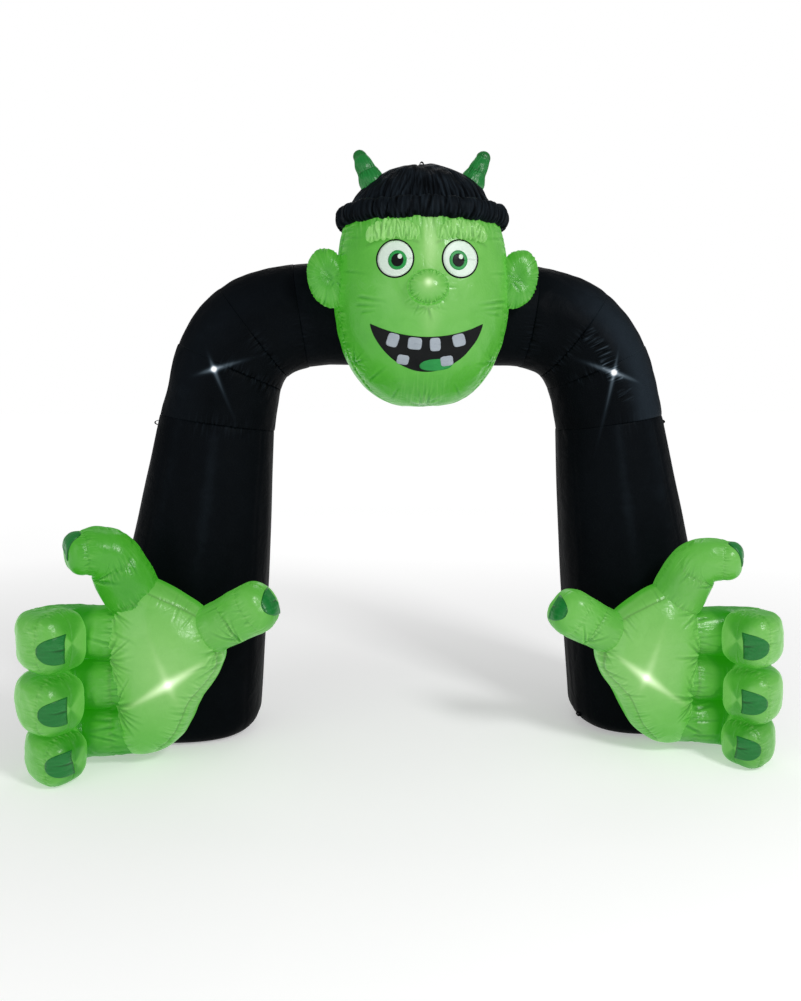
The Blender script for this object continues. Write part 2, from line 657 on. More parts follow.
WEBBING = woven_webbing("webbing")
PRINT_BLACK = printed_cloth("print_black", (0.0075, 0.0085, 0.0090), (0.0040, 0.0048, 0.0052), 0.40, 0.10)
PRINT_PALE = printed_cloth("print_pale", (0.640, 0.740, 0.660), (0.560, 0.670, 0.580))
PRINT_GREY = printed_cloth("print_grey", (0.350, 0.390, 0.440), (0.280, 0.320, 0.365))
PRINT_LEAF = printed_cloth("print_leaf", (0.020, 0.290, 0.060), (0.012, 0.220, 0.045))


# Arch

def elbow_centre(t):
    """Centres (x, z) and leans of the elbow's line at parameters t: a cubic Bezier from leg top to crown."""
    rise = math.atan2(FOOT_X - LEG_TOP_X, LEG_TOP_Z)
    knots = np.array([
        (LEG_TOP_X, LEG_TOP_Z),
        (LEG_TOP_X - ELBOW_HANDLE_LOW * math.sin(rise), LEG_TOP_Z + ELBOW_HANDLE_LOW * math.cos(rise)),
        (CROWN_X + ELBOW_HANDLE_HIGH, CROWN_Z),
        (CROWN_X, CROWN_Z),
    ])
    weights = np.stack([(1 - t) ** 3, 3 * t * (1 - t) ** 2, 3 * t**2 * (1 - t), t**3], axis=-1)
    slopes = np.stack([-3 * (1 - t) ** 2, 3 * (1 - t) * (1 - 3 * t), 3 * t * (2 - 3 * t), 3 * t**2], axis=-1)
    heading = slopes @ knots
    return weights @ knots, np.arctan2(-heading[:, 0], heading[:, 1])


def tube(centre, lean, half_width, half_depth, squareness, turn):
    """Rings of the arch tube (row, column, xyz) on its +x side, square to a line leaning from upright."""
    squareness = np.broadcast_to(squareness, half_width.shape)
    outer, front = round_square(turn, squareness[:, None])
    across = outer * half_width[:, None]
    return np.stack([centre[:, :1] + across * np.cos(lean)[:, None], -front * half_depth[:, None],
                     centre[:, 1:] + across * np.sin(lean)[:, None]], axis=-1)


def elbow_tube(t, scale, turn):
    """Rings of the elbow at parameters t: half sizes run straight from leg top to crown."""
    centre, lean = elbow_centre(t)
    half_width = (LEG_TOP_HALF_WIDTH + (CROWN_HALF_SIZE - LEG_TOP_HALF_WIDTH) * t) * (scale + (1 - scale) * t)
    half_depth = LEG_TOP_HALF_DEPTH + (CROWN_HALF_SIZE - LEG_TOP_HALF_DEPTH) * t
    return tube(centre, lean, half_width, half_depth, 2.0, turn), half_depth


# Where each seam shows on the tube's front, from the leg top to the crown: from turn, to turn, strength
SEAMS_SHOWN = {
    -1: ((0.27, -0.63, 0.70), (0.05, -1.30, 1.00), (-0.10, -1.20, 0.90), (-0.10, -0.80, 0.40)),
    1: ((1.30, -0.05, 0.40), (0.00, -0.70, 0.90), (0.05, -1.30, 1.00), (-0.10, -0.90, 0.70)),
}


def shown_seam(turn, sign, number):
    """How much of a seam shows at angles round the tube: it fades at both ends of its part of the front."""
    outer, inner, strength = SEAMS_SHOWN[sign][number]
    return strength * ease(outer + 0.25, outer - 0.15, turn) * ease(inner - 0.30, inner + 0.15, turn)


def arch_seam(distance, shown):
    """Depth of cloth drawn in at a seam: a shallow roll and a narrow fold where it shows."""
    roll = 0.0024 * bell(distance, 0.018) + 0.0046 * np.exp(-np.abs(distance) / 0.0035)
    return (0.02 + 0.98 * shown) * roll + 0.0005 * bell(distance, 0.008)


def arch_gathers(around, distance, seed):
    """Short gathers that leave a seam, thickest at the tube's front, and long ones at its inner bend."""
    front = gathers(-0.17, 0.08, 0.0210, 0.050, 0.0038, 0.0022, seed, both_sides=False)
    bend = gathers(-0.36, -0.20, 0.0260, 0.075, 0.0055, 0.0024, seed + 1, both_sides=False)
    return creases(around, distance, np.concatenate([front, bend]))


def make_leg(side, sign, scale):
    """A leg: flat underside, rounded foot edge, then straight tapering sides up to the first elbow seam.

    Rows are heights up the leg, and the section turns from squarish at the foot to round at the top.
    """
    lean_top = elbow_centre(np.array([0.0]))[1][0]
    bend = np.radians(np.linspace(0, 90, 11))
    straight_height = LEG_TOP_Z - FOOT_EDGE_RADIUS
    heights = dense_at((straight_height,), straight_height, 0.0032, 0.0175, 0.060)[1:]
    height = np.concatenate([np.zeros(5), FOOT_EDGE_RADIUS * (1 - np.cos(bend)), heights + FOOT_EDGE_RADIUS])
    height = np.minimum(height, LEG_TOP_Z - 0.0002)
    inset = np.concatenate([np.full(5, FOOT_EDGE_RADIUS), FOOT_EDGE_RADIUS * (1 - np.sin(bend)),
                            np.zeros(len(heights))])
    shrink = np.concatenate([[0.01, 0.25, 0.5, 0.75, 0.92], np.ones(11 + len(heights))])
    part = height / LEG_TOP_Z
    belly = LEG_BELLY * np.sin(math.pi * part)
    half_width = scale * (FOOT_HALF_WIDTH + (LEG_TOP_HALF_WIDTH - FOOT_HALF_WIDTH) * part) + belly - inset
    half_depth = FOOT_HALF_DEPTH + (LEG_TOP_HALF_DEPTH - FOOT_HALF_DEPTH) * part + belly - inset
    centre = np.stack([FOOT_X + (LEG_TOP_X - FOOT_X) * part, height], axis=-1)
    turn = turns(ARCH_COLUMNS, 0.3)[None]
    grid = tube(centre, lean_top * part**2, half_width * shrink, half_depth * shrink,
                FOOT_SQUARENESS + (2.0 - FOOT_SQUARENESS) * part**0.7, turn)
    around = turn * (half_width + half_depth)[:, None] / 2
    along = np.broadcast_to(height[:, None], around.shape)
    below_seam = LEG_TOP_Z - along
    above_ground = ease(0.0, 0.05, along)
    shown = shown_seam(turn, sign, 0)
    folds = 0.5 * shown * arch_gathers(around, below_seam, 30 + sign) * above_ground
    relief = -arch_seam(below_seam, shown)
    for place in (-2.45, -0.95, -0.05, 0.70, 2.2):
        relief -= 0.0017 * bell(turn - place - 0.03 * np.sin(along * 3), 0.024)
    relief += 0.0022 * unevenness(grid * (1, 1, 0.35), 0.30, 40 + sign)
    relief += 0.0009 * unevenness(grid * (1, 1, 0.25), 0.09, 43 + sign)
    seam = shown * bell(below_seam, 0.0030)
    stripe = bell(turn + 0.10, 0.10) + 0.7 * bell(turn - 0.55, 0.16)
    lit = 0.34 + 0.16 * stripe * ease(0.25, 1.0, along) + 0.10 * ease(0.3, 1.2, along)
    near = 0.6 * shown * bell(below_seam, 0.05)
    lit = lit - 0.16 * bell(turn + 1.55, 0.8)
    grid, relief = grid * (sign, 1, 1), relief * above_ground
    sew(f"{side}_leg", grid, relief, folds, 0.003, around, along, BLACK, 0.95, to_frame, seam=seam, lit=lit,
        near=near)


# How far the cloth of each elbow stands out or in along its outer side: seam parameter, reach, depth
SHOULDER_FULLNESS = {-1: ((0.12, 0.16, -0.010), (0.62, 0.22, 0.012)), 1: ((0.62, 0.20, 0.004),)}


def make_gore(side, sign, scale, number, t_low, t_high):
    """An elbow gore between two seams, each drawn in, with gathers that leave the seams at the front."""
    (low, high), _ = elbow_centre(np.array([t_low, t_high]))
    length = float(np.linalg.norm(high - low))
    distance = np.clip(dense_at((0.0, length), length, 0.0030, 0.0085, 0.040), 0.0002, length - 0.0002)
    t = t_low + (t_high - t_low) * distance / length
    turn = turns(ARCH_COLUMNS, 0.3)[None]
    grid, half_depth = elbow_tube(t, scale, turn)
    around = turn * half_depth[:, None]
    along = np.broadcast_to(distance[:, None], around.shape)
    seed = 60 + 7 * number + sign
    low_shown, high_shown = shown_seam(turn, sign, number - 1), shown_seam(turn, sign, number)
    below = length - along
    folds = low_shown * arch_gathers(around, along, seed) + high_shown * arch_gathers(around, below, seed + 2)
    relief = -arch_seam(along, low_shown) - arch_seam(below, high_shown)
    outer = ease(0.5, 1.5, turn) * ease(2.6, 1.9, turn)
    for place, reach, depth in SHOULDER_FULLNESS[sign]:
        relief += depth * bell(t - place, reach)[:, None] * outer
    relief += 0.0016 * unevenness(grid, 0.22, seed + 4) + 0.0008 * unevenness(grid, 0.07, seed + 5)
    seam = 0.9 * (low_shown * bell(along, 0.0030) + high_shown * bell(below, 0.0030))
    near = 0.6 * (low_shown * bell(along, 0.04) + high_shown * bell(below, 0.04))
    shoulder = ease(0.0, 0.55, turn) * ease(1.6, 0.6, turn) * ease(0.95, 0.45, t)[:, None]
    lit = 0.36 + (0.50 if sign > 0 else 0.14) * shoulder - 0.16 * bell(turn + 1.55, 0.8)
    glow = (0.080 if sign > 0 else 0.02) * shoulder
    run, off = around, along
    if sign > 0 and number < 3:
        hatch = hatching(t, around)
        near = near + hatch
        slope = HATCH_SLANT * (t[:, None] - HATCH_LEVEL)
        run = np.where(hatch > 0.02, HATCH_FINENESS * (along + slope * around), around)
        off = np.where(hatch > 0.02, around, along)
    sew(f"{side}_gore_{number}", grid * (sign, 1, 1), relief, folds, 0.003, around, along, BLACK, 0.95,
        to_frame,
        seam=np.clip(seam, 0, 1), lit=lit, near=near, glow=glow, run=run, off=off)


# The hatching's lines against the elbow's rings: slant by seam parameter, its level one, and fineness
HATCH_SLANT, HATCH_LEVEL, HATCH_FINENESS = 1.36, 0.315, 1.15


def hatching(t, around):
    """Where short slanted pull lines stand in a row along the right elbow's front."""
    upper = (ease(0.21, 0.24, t) * ease(0.60, 0.55, t))[:, None]
    lower = (ease(0.10, 0.13, t) * ease(0.19, 0.17, t))[:, None]
    return (1.9 * upper * ease(-0.034, -0.018, around) * ease(0.046, 0.030, around)
            + 1.3 * lower * ease(-0.010, 0.006, around) * ease(0.074, 0.056, around))


def make_crown():
    """The level crown tube between the two last elbow seams, which runs through the back of the head."""
    t_seam = ELBOW_SEAMS[-1]
    (seam_place, level_place), _ = elbow_centre(np.array([t_seam, 1.0]))
    length = float(np.linalg.norm(level_place - seam_place))
    distance = np.clip(dense_at((0.0,), length, 0.0032, 0.0090, 0.050), 0.0002, length)
    turn = turns(ARCH_COLUMNS, 0.3)[None]
    t = t_seam + (1 - t_seam) * distance / length
    halves = [elbow_tube(t, scale, turn)[0] * (sign, 1, 1) for _, sign, scale, *_ in SIDES]
    middle_x = np.linspace(-CROWN_X, CROWN_X, 9)[1:-1, None]
    middle = np.stack([middle_x + 0 * turn, -np.cos(turn) * CROWN_HALF_SIZE + 0 * middle_x,
                       CROWN_Z + np.sin(turn) * CROWN_HALF_SIZE + 0 * middle_x], axis=-1)
    grid = np.concatenate([halves[0], middle, halves[1][::-1]])
    ends = np.concatenate([distance, np.full(7, 1.0), distance[::-1]])[:, None] + 0 * turn
    along = run_along(grid)
    around = np.broadcast_to(turn * CROWN_HALF_SIZE, along.shape)
    shown = np.where(grid[..., :1].mean(axis=1) < 0, shown_seam(turn, -1, 3),
                     shown_seam(turn, 1, 3))
    folds = shown * arch_gathers(around, ends, 90)
    relief = 0.0014 * unevenness(grid, 0.2, 92) - arch_seam(ends, shown)
    seam = 0.9 * bell(ends, 0.0030) * shown
    lit = 0.40 + 0.12 * bell(turn - 0.5, 0.7) + 0 * ends
    near = 0.6 * bell(ends, 0.05) * shown
    sew("crown", grid, relief, folds, 0.003, around, along, BLACK, 0.95, to_frame, seam=seam, lit=lit,
        near=near)


# Hands

FULL_FOLD = 0.0032

# Seams of the palm's front panel in (u, v): the side band over the top and below the thumb, and finger roots
PALM_TOP_BAND = ((0.098, 0.322), (0.079, 0.308), (-0.035, 0.252), (-0.131, 0.194), (-0.172, 0.135))
PALM_LOW_BAND = ((-0.196, 0.110), (-0.194, 0.050), (-0.186, -0.005), (-0.118, -0.085), (-0.086, -0.124),
                 (-0.030, -0.240), (0.040, -0.312))
PALM_FINGER_EDGE = ((0.120, 0.300), (0.186, 0.232), (0.205, 0.140), (0.214, 0.045), (0.200, -0.040),
                    (0.186, -0.130), (0.186, -0.220), (0.150, -0.315))
PALM_THUMB_EDGE = ((-0.131, 0.190), (-0.159, 0.141), (-0.187, 0.092), (-0.204, 0.060))
# Webs and other points that gathers fan out from: centre, heading, spread, inner, outer, count, width, depth
PALM_FANS = (
    ((0.190, 0.232), 222, 38, 0.006, 0.095, 8, 0.0050, 0.0046),
    ((0.214, 0.045), 180, 62, 0.008, 0.125, 12, 0.0054, 0.0072),
    ((0.188, -0.130), 176, 76, 0.006, 0.130, 14, 0.0052, 0.0076),
    ((-0.196, 0.074), 322, 48, 0.004, 0.080, 8, 0.0046, 0.0042),
    ((0.126, 0.300), 246, 44, 0.006, 0.070, 7, 0.0044, 0.0032),
)
# Single pull lines by hand: start (u, v), end (u, v), width, depth
PALM_PULLS = {
    -1: ((-0.190, 0.010, -0.110, -0.030, 0.0055, 0.0040), (-0.110, -0.100, -0.040, -0.080, 0.0050, 0.0034),
         (-0.150, 0.020, -0.085, 0.004, 0.0045, 0.0030), (-0.070, -0.160, -0.018, -0.140, 0.0050, 0.0030),
         (0.165, 0.150, 0.085, 0.118, 0.0060, 0.0030), (0.176, 0.110, 0.112, 0.094, 0.0050, 0.0026),
         (-0.060, 0.236, -0.040, 0.190, 0.0050, 0.0026), (-0.100, 0.200, -0.066, 0.160, 0.0050, 0.0026)),
    1: ((-0.178, -0.010, -0.100, -0.040, 0.0055, 0.0044), (-0.100, -0.108, -0.030, -0.100, 0.0055, 0.0038),
        (-0.140, -0.060, -0.085, -0.062, 0.0045, 0.0030), (-0.055, -0.200, -0.010, -0.180, 0.0050, 0.0030),
        (-0.135, 0.186, -0.090, 0.118, 0.0050, 0.0034), (-0.105, 0.204, -0.070, 0.160, 0.0045, 0.0030),
        (0.180, -0.205, 0.110, -0.212, 0.0055, 0.0030), (0.176, -0.172, 0.120, -0.168, 0.0045, 0.0026)),
}


def make_palm(side, sign):
    """A palm: a full pillow on its outline, with panel seams, a side band and gathers at the finger roots.

    Rows are levels v, and each row runs round the front and the back between the outline's two edges. With
    the share p of the way from the palm's heart to the outline, depth is the half thickness times
    (1 - p^(2/fullness))^0.45.
    """
    edge = spline(PALM_OUTLINE, 900, closed=True)
    edge[:, 1] = np.where(edge[:, 1] < -0.2, edge[:, 1] + 0.06 * (-0.2 - edge[:, 1]), edge[:, 1])
    away = edge - PALM_HEART
    angle = np.arctan2(away[:, 1], away[:, 0])
    order = np.argsort(angle)
    top, bottom = edge[:, 1].argmax(), edge[:, 1].argmin()
    sides = []
    for start, stop in ((top, bottom), (bottom, top)):
        side_edge = edge[start:stop + 1] if start < stop else np.concatenate([edge[start:], edge[:stop + 1]])
        sides.append(side_edge[side_edge[:, 1].argsort()])
    middle = (edge[top, 1] + edge[bottom, 1]) / 2
    rise = np.linspace(-1, 1, 172)
    level = middle + (edge[top, 1] - middle) * np.sin(rise * math.pi / 2 * 0.985) * (1 - 1e-4)
    level = 0.35 * level + 0.65 * (middle + (edge[top, 1] - middle) * rise * 0.9999)
    ends = sorted((np.interp(level, *side_edge.T[::-1]) for side_edge in sides),
                  key=lambda values: values.mean())
    front = np.sin(np.linspace(-math.pi / 2, math.pi / 2, 167)[:-1])
    front = 0.72 * front + 0.28 * np.linspace(-1, 1, 167)[:-1]
    back = np.sin(np.linspace(math.pi / 2, -math.pi / 2, 72)[:-1])
    place_across = np.concatenate([front, back])[None, :]
    u = (ends[0] + ends[1])[:, None] / 2 + (ends[1] - ends[0])[:, None] / 2 * place_across * 0.9995
    v = np.broadcast_to(level[:, None], u.shape)
    turn = np.arctan2(v - PALM_HEART[1], u - PALM_HEART[0])
    radius = np.interp(turn, angle[order], np.hypot(*away[order].T), period=TAU)
    share = np.minimum(np.hypot(u - PALM_HEART[0], v - PALM_HEART[1]) / radius, 0.99999)
    depth = PALM_HALF_THICKNESS * (1 - share ** (2 / PALM_FULLNESS)) ** 0.45
    ways = np.where(np.arange(u.shape[1]) < 166, -1, 1)[None, :]
    grid = np.stack([u, PALM_Y + ways * depth, v], axis=-1)
    on_front = ease(0.010, 0.045, -ways * depth)
    top_run, top_off = beside(u, v, PALM_TOP_BAND)
    low_run, low_off = beside(u, v, PALM_LOW_BAND)
    finger_run, finger_off = beside(u, v, PALM_FINGER_EDGE)
    thumb_run, thumb_off = beside(u, v, PALM_THUMB_EDGE)
    rim = (1 - share) * radius
    relief = 0.0024 * unevenness(grid, 0.26, 130 + sign) + 0.0009 * unevenness(grid, 0.08, 132 + sign)
    relief -= on_front * (0.0036 * bell(top_off, 0.0060) + 0.0032 * bell(low_off, 0.0060))
    relief -= on_front * (0.0046 * bell(finger_off, 0.010) + 0.0036 * bell(thumb_off, 0.008))
    relief -= (1 - on_front) * 0.0055 * bell(rim - 0.030, 0.008)
    dice = 120 + sign
    folds = creases(top_run, top_off, gathers(0, 0.36, 0.0260, 0.042, 0.0034, 0.0020, dice))
    folds += creases(low_run, low_off, gathers(0, 0.52, 0.0210, 0.050, 0.0036, 0.0026, dice + 2))
    inward = -1 if finger_off[86, 83] < 0 else 1
    folds += creases(finger_run, inward * finger_off,
                     gathers(0, 0.72, 0.0170, 0.055, 0.0040, 0.0032, dice + 4, both_sides=False))
    folds += creases(thumb_run, thumb_off, gathers(0, 0.16, 0.0160, 0.055, 0.0040, 0.0030, dice + 6))
    tables = [fan(*row, seed=dice + 8 + 2 * number) for number, row in enumerate(PALM_FANS)]
    folds += creases(u, v, np.concatenate(tables + [np.array(PALM_PULLS[sign])]))
    folds *= on_front
    centre = PALM_LAMPS[sign][0]
    glow = 0.19 * bell(np.hypot(u - centre[0] - 0.02, v - centre[1] - 0.10), 0.24) + 0.07 * bell(
        np.hypot(u - centre[0], v - centre[1]), 0.09)
    glow = (glow + 0.03) * on_front
    band = ease(0.0, 0.012, rim) * ((np.abs(low_off) < 0.05) * 1 + (np.abs(top_off) < 0.05) * 1)
    outside = np.minimum(1, band) * ease(0.045, 0.015, rim)
    seam = 0.75 * bell(top_off, 0.0030) + 0.75 * bell(low_off, 0.0028) + 0.5 * bell(finger_off, 0.0036)
    seam = (seam + 0.6 * bell(thumb_off, 0.0032)) * on_front + (1 - on_front) * 0.6 * bell(rim - 0.030, 0.004)
    near_webs = bell(np.hypot(u - 0.225, v - 0.04), 0.06) + bell(np.hypot(u - 0.195, v + 0.135), 0.06)
    lit = 0.62 - 0.34 * near_webs - 0.16 * outside - 0.12 * ease(-0.15, -0.33, v)
    run = np.where(np.abs(low_off) < np.abs(finger_off), low_run, finger_run)
    off = np.minimum(np.abs(low_off), np.abs(finger_off))
    near = np.clip(0.25 * bell(top_off, 0.035) + 0.8 * bell(low_off, 0.035) + 0.7 * bell(finger_off, 0.05),
                   0, 1)
    near = near * on_front
    sew(f"{side}_palm", grid, relief, folds, FULL_FOLD, u, v, GREEN, 0.85, lambda points: to_hand(points,
                                                                                                  sign),
        seam=np.clip(seam, 0, 1), lit=lit, glow=glow, near=near, run=run, off=off)


def curled_line(v_root, v_tip, reach, rows):
    """Centreline (u, y, v) of a curled finger: a straight run, then an arc back over it."""
    place = np.linspace(0, 8, rows)
    centre_u = reach - CURL_RADIUS
    straight = np.interp(place, (0, 2), (FINGER_ROOT_U, centre_u))
    turned = np.radians(np.clip((place - 2) / 6, 0, 1) * CURL_TURN)
    u = np.where(place < 2, straight, centre_u + CURL_RADIUS * np.sin(turned))
    y = FINGER_Y - CURL_RADIUS * (1 - np.cos(turned))
    return np.stack([u, y, v_root + (v_tip - v_root) * (place / 8) ** 0.8], axis=-1)


def finger_tube(line, radii, hint, squareness, columns, crowd_at, tip_rows=24, blunt=0.80, tip_length=1.0):
    """A finger: rings square to its centreline, then a blunt tip.

    The tip's rings shrink as the cosine to a power under one. Columns start from the ring's face, which is
    across from the hint direction, and stand closer round the crowd_at angle.
    """
    tangents = unit(np.gradient(line, axis=0))
    bend = np.radians(np.linspace(0, 88.5, tip_rows + 1)[1:])
    tip = line[-1] + tangents[-1] * (tip_length * radii[-1] * np.sin(bend) ** 0.92)[:, None]
    rows = len(line)
    line = np.concatenate([line, tip])
    tangents = np.concatenate([tangents, np.repeat(tangents[-1:], tip_rows, axis=0)])
    radii = np.concatenate([radii, radii[-1] * np.cos(bend) ** blunt])
    squareness = np.concatenate([squareness, np.full(tip_rows, squareness[-1])])
    edge = unit(hint - tangents * (tangents @ hint)[:, None])
    face = np.cross(tangents, edge)
    turn = turns(columns, 0.3 if crowd_at else 0.0)[None] + crowd_at
    sine, cosine = round_square(turn, squareness[:, None])
    ring = cosine[..., None] * face[:, None] + sine[..., None] * edge[:, None]
    grid = line[:, None] + radii[:, None, None] * ring
    middle = np.concatenate([[0], np.cumsum(np.linalg.norm(np.diff(line, axis=0), axis=1))])
    extra = np.concatenate([np.zeros(rows), radii[rows - 1] * bend - (middle[rows:] - middle[rows - 1])])
    along = np.broadcast_to((middle + extra)[:, None], grid.shape[:2])
    return grid, along, turn


def between(turn, place):
    """Angle from a place round a piece, kept between minus and plus half a turn."""
    return np.arctan2(np.sin(turn - place), np.cos(turn - place))


def finger_piece(side, sign, name, grid, relief, folds, around, along, **layers):
    """Make a finger, its pull lines finer and shorter than the arch's. Returns its surface in the hand."""
    return sew(f"{side}_{name}", grid, relief, folds, FULL_FOLD, around, along, GREEN, 0.9,
               lambda points: to_hand(points, sign), run=1.25 * around, off=2.2 * along, **layers)


def seam_gathers(around, along, rows, seed):
    """Folds of the gathers along a piece's seams, from rows of the seam's place and the gathers' sizes."""
    return sum(creases(around, along - place, gathers(*sizes, seed + number))
               for number, (place, sizes) in enumerate(rows))


def finger_unevenness(grid, length, fine_length, seed):
    """Slow and fine unevenness of a finger's cloth."""
    return 0.0022 * unevenness(grid, length, seed + 5) + 0.0009 * unevenness(grid, fine_length, seed + 6)


# How much lighter or darker each curled finger is lit from inside
FINGER_LIT = {"finger_upper": 0.04, "finger_middle": 0.0, "finger_lower": -0.14}
# How far the cloth of a curled finger stands beyond its filled core: reach, root and tip radius
CURLED_FIT = {"finger_upper": (-0.020, 0.009, -0.001), "finger_middle": (-0.010, 0.005, 0.002),
              "finger_lower": (-0.006, 0.009, 0.003)}


def make_curled_finger(side, sign, row, seed):
    """A curled finger: gathered where it leaves the palm, boxy past its bend, with panel seams on its end.

    Returns its outer surface and tip centre in hand coordinates for the nail to lie on.
    """
    name, v_root, v_tip, reach, root, tip = row
    longer, fuller_root, fuller_tip = CURLED_FIT[name]
    rows = 86
    line = curled_line(v_root, v_tip, reach + longer, rows)
    part = np.linspace(0, 1, rows)
    sizes = (root + fuller_root, root + 0.6 * fuller_root + 0.006, tip + fuller_tip)
    radii = np.interp(part, (0, 0.35, 1), sizes)
    squareness = 2.05 + 1.25 * ease(0.30, 0.80, part)
    grid, along, turn = finger_tube(line, radii, np.array([0.0, 0.0, 1.0]), squareness, 124, 0.0, 24, 0.62,
                                    0.74)
    mean_radius = float(radii.mean())
    around = turn * mean_radius + 0 * along
    root_seam, tip_seam = 0.120, float(along[rows - 1, 0]) + 0.022
    bend_seam = 0.375 + 0.020 * np.cos(turn)
    relief = -0.0040 * bell(along - root_seam, 0.008) - 0.0022 * bell(along - bend_seam, 0.0055)
    relief -= 0.0022 * bell(along - tip_seam, 0.0050)
    folds = seam_gathers(around, along, (
        (root_seam, (-0.3, 0.3, 0.0300, 0.095, 0.0058, 0.0040)),
        (bend_seam, (-0.33, 0.33, 0.0110, 0.040, 0.0032, 0.0030)),
        (tip_seam, (-0.33, 0.33, 0.0150, 0.034, 0.0032, 0.0024))), seed)
    inner = gathers(0.17, 0.36, 0.0300, 0.13, 0.0075, 0.0060, seed + 3, both_sides=False)
    folds += creases(along, around + 0.065, inner)
    past_root = ease(root_seam, root_seam + 0.03, along)
    side_seams = [between(turn, angle) * mean_radius for angle in (math.pi / 2, -math.pi / 2)]
    for off in side_seams:
        relief -= 0.0020 * bell(off, 0.0055) * past_root
        table = gathers(0.12, 0.46, 0.0190, 0.040, 0.0036, 0.0026, seed + 4)
        folds += past_root * creases(along, off + 0 * along, table)
    relief += finger_unevenness(grid, 0.15, 0.05, seed)
    seam = 0.5 * bell(along - root_seam, 0.0040) + 0.30 * bell(along - bend_seam, 0.0026)
    seam += 0.20 * bell(along - tip_seam, 0.0026)
    seam += 0.20 * (bell(side_seams[0], 0.0026) + bell(side_seams[1], 0.0026)) * past_root
    corner = bell(between(turn, 0.75 * math.pi), 0.7)
    near = 0.4 * bell(along - root_seam, 0.04) + (0.7 + 0.9 * corner) * bell(along - bend_seam, 0.05)
    near = near + 0.8 * bell(along - tip_seam, 0.04)
    sides = ease(0.55, 0.95, np.abs(np.sin(turn)))
    lit = 0.50 + FINGER_LIT[name] + 0.08 * ease(0.24, 0.42, along) + 0.05 * unevenness(grid, 0.2, seed + 7)
    down = ease(0.0, 0.9, -np.sin(turn))
    behind = ease(0.165, 0.215, along) * ease(0.36, 0.30, along)
    lit -= 0.34 * sides + 0.42 * behind + 0.30 * down * ease(0.30, 0.20, along)
    own_glow = 0.03 if sign > 0 else 0.0
    glow = 0.040 + 0.050 * ease(0.28, 0.48, along) + own_glow + 0.20 * min(FINGER_LIT[name], 0)
    surface = finger_piece(side, sign, name, grid, relief, folds, around, along, seam=np.clip(seam, 0, 1),
                           lit=lit,
                           near=np.clip(near, 0, 1.4), glow=glow * (1 - 0.8 * sides) * (1 - 0.9 * behind))
    return surface[int(rows * 0.66):], line[-1]


def make_open_finger(side, sign, row, seed):
    """An open finger or thumb on a curve, with a root seam, a joint crease, gathers and a round tip."""
    name, knots, root, tip, root_seam, bend = row
    thumb = name == "thumb"
    rows = 92
    part = np.linspace(0, 1, rows)
    line = spline(knots, rows)
    if thumb:
        radii = np.interp(part, (0, 0.5, 1), (root + 0.004, root + 0.006, tip - 0.004))
        line[:, 2] += 0.016 * part**2
    else:
        radii = np.interp(part, (0, 0.30, 0.62, 1), (root + 0.002, root + 0.007, root - 0.004, tip - 0.001))
        line[:, 0] += 0.006 * bell(part - 0.45, 0.2) + (0.016 if sign > 0 else 0.0) * ease(0.6, 1.0, part)
    grid, along, turn = finger_tube(line, radii, np.array([0.0, -1.0, 0.0]), np.linspace(2.0, 2.5, rows),
                                    118, math.pi / 2, 24, 0.72 if thumb else 0.60, 0.86 if thumb else 0.80)
    mean_radius = float(radii.mean())
    facing = between(turn, math.pi / 2)
    around = facing * mean_radius + 0 * along
    arc = bend + 0.030 * (facing / 1.2) ** 2 * (-1 if thumb else 1)
    on_face = bell(facing, 1.0)
    tip_seam = float(along[rows - 1, 0]) - 0.004
    relief = -0.0058 * bell(along - root_seam, 0.008)
    relief -= (0.0040 * bell(along - arc, 0.0060) + 0.0050 * bell(along - arc, 0.030)) * on_face
    relief -= 0.0016 * bell(along - tip_seam, 0.0050)
    folds = seam_gathers(around, along, (
        (root_seam, (-0.30, 0.30, 0.0150, 0.046, 0.0036, 0.0022)),
        (arc, (-0.10, 0.10, 0.0150, 0.050, 0.0038, 0.0026)),
        (tip_seam, (-0.3, 0.3, 0.0150, 0.036, 0.0032, 0.0022))), seed)
    # deeper folds run from the joint's outer end across the face
    corner, heading = (0.085, 180) if thumb else (-0.085, 0)
    folds += creases(around, along, fan((corner, bend), heading, 34, 0.0, 0.11, 6, 0.0048, 0.0056, seed + 3))
    side_seams = [between(turn, angle) * mean_radius for angle in (0.0, math.pi)]
    for off in side_seams:
        relief -= 0.0020 * bell(off, 0.0055)
        folds += creases(along, off + 0 * along, gathers(0.12, 0.44, 0.0190, 0.040, 0.0036, 0.0026, seed + 4))
    relief += finger_unevenness(grid, 0.16, 0.055, seed)
    seam = 0.6 * bell(along - root_seam, 0.0045) + 0.36 * bell(along - arc, 0.0040) * on_face
    seam += 0.12 * bell(along - tip_seam, 0.0030) + 0.15 * sum(bell(off, 0.003) for off in side_seams)
    near = 0.7 * bell(along - root_seam, 0.030) + 0.9 * bell(along - arc, 0.030) * on_face
    near = near + 0.6 * bell(along - tip_seam, 0.028)
    pale = 0.045 if (thumb or sign > 0) else 0.002
    lit = (0.33 if pale < 0.03 else 0.47) + 0.08 * ease(bend - 0.04, bend + 0.08, along)
    lit = lit - 0.16 * ease(0.3, 1.0, -np.cos(turn) if thumb else np.cos(turn))
    lit = lit + 0.05 * unevenness(grid, 0.2, seed + 7)
    before_bend = ease(bend + 0.05, bend - 0.05, along)
    glow = pale + 0.7 * pale * bell(facing, 0.7) * before_bend + pale * bell(facing, 0.8)
    surface = finger_piece(side, sign, name, grid, relief, folds, around, along, seam=np.clip(seam, 0, 1),
                           lit=lit,
                           near=np.clip(near, 0, 1), glow=glow)
    return surface[int(rows * 0.6):], line[-1]


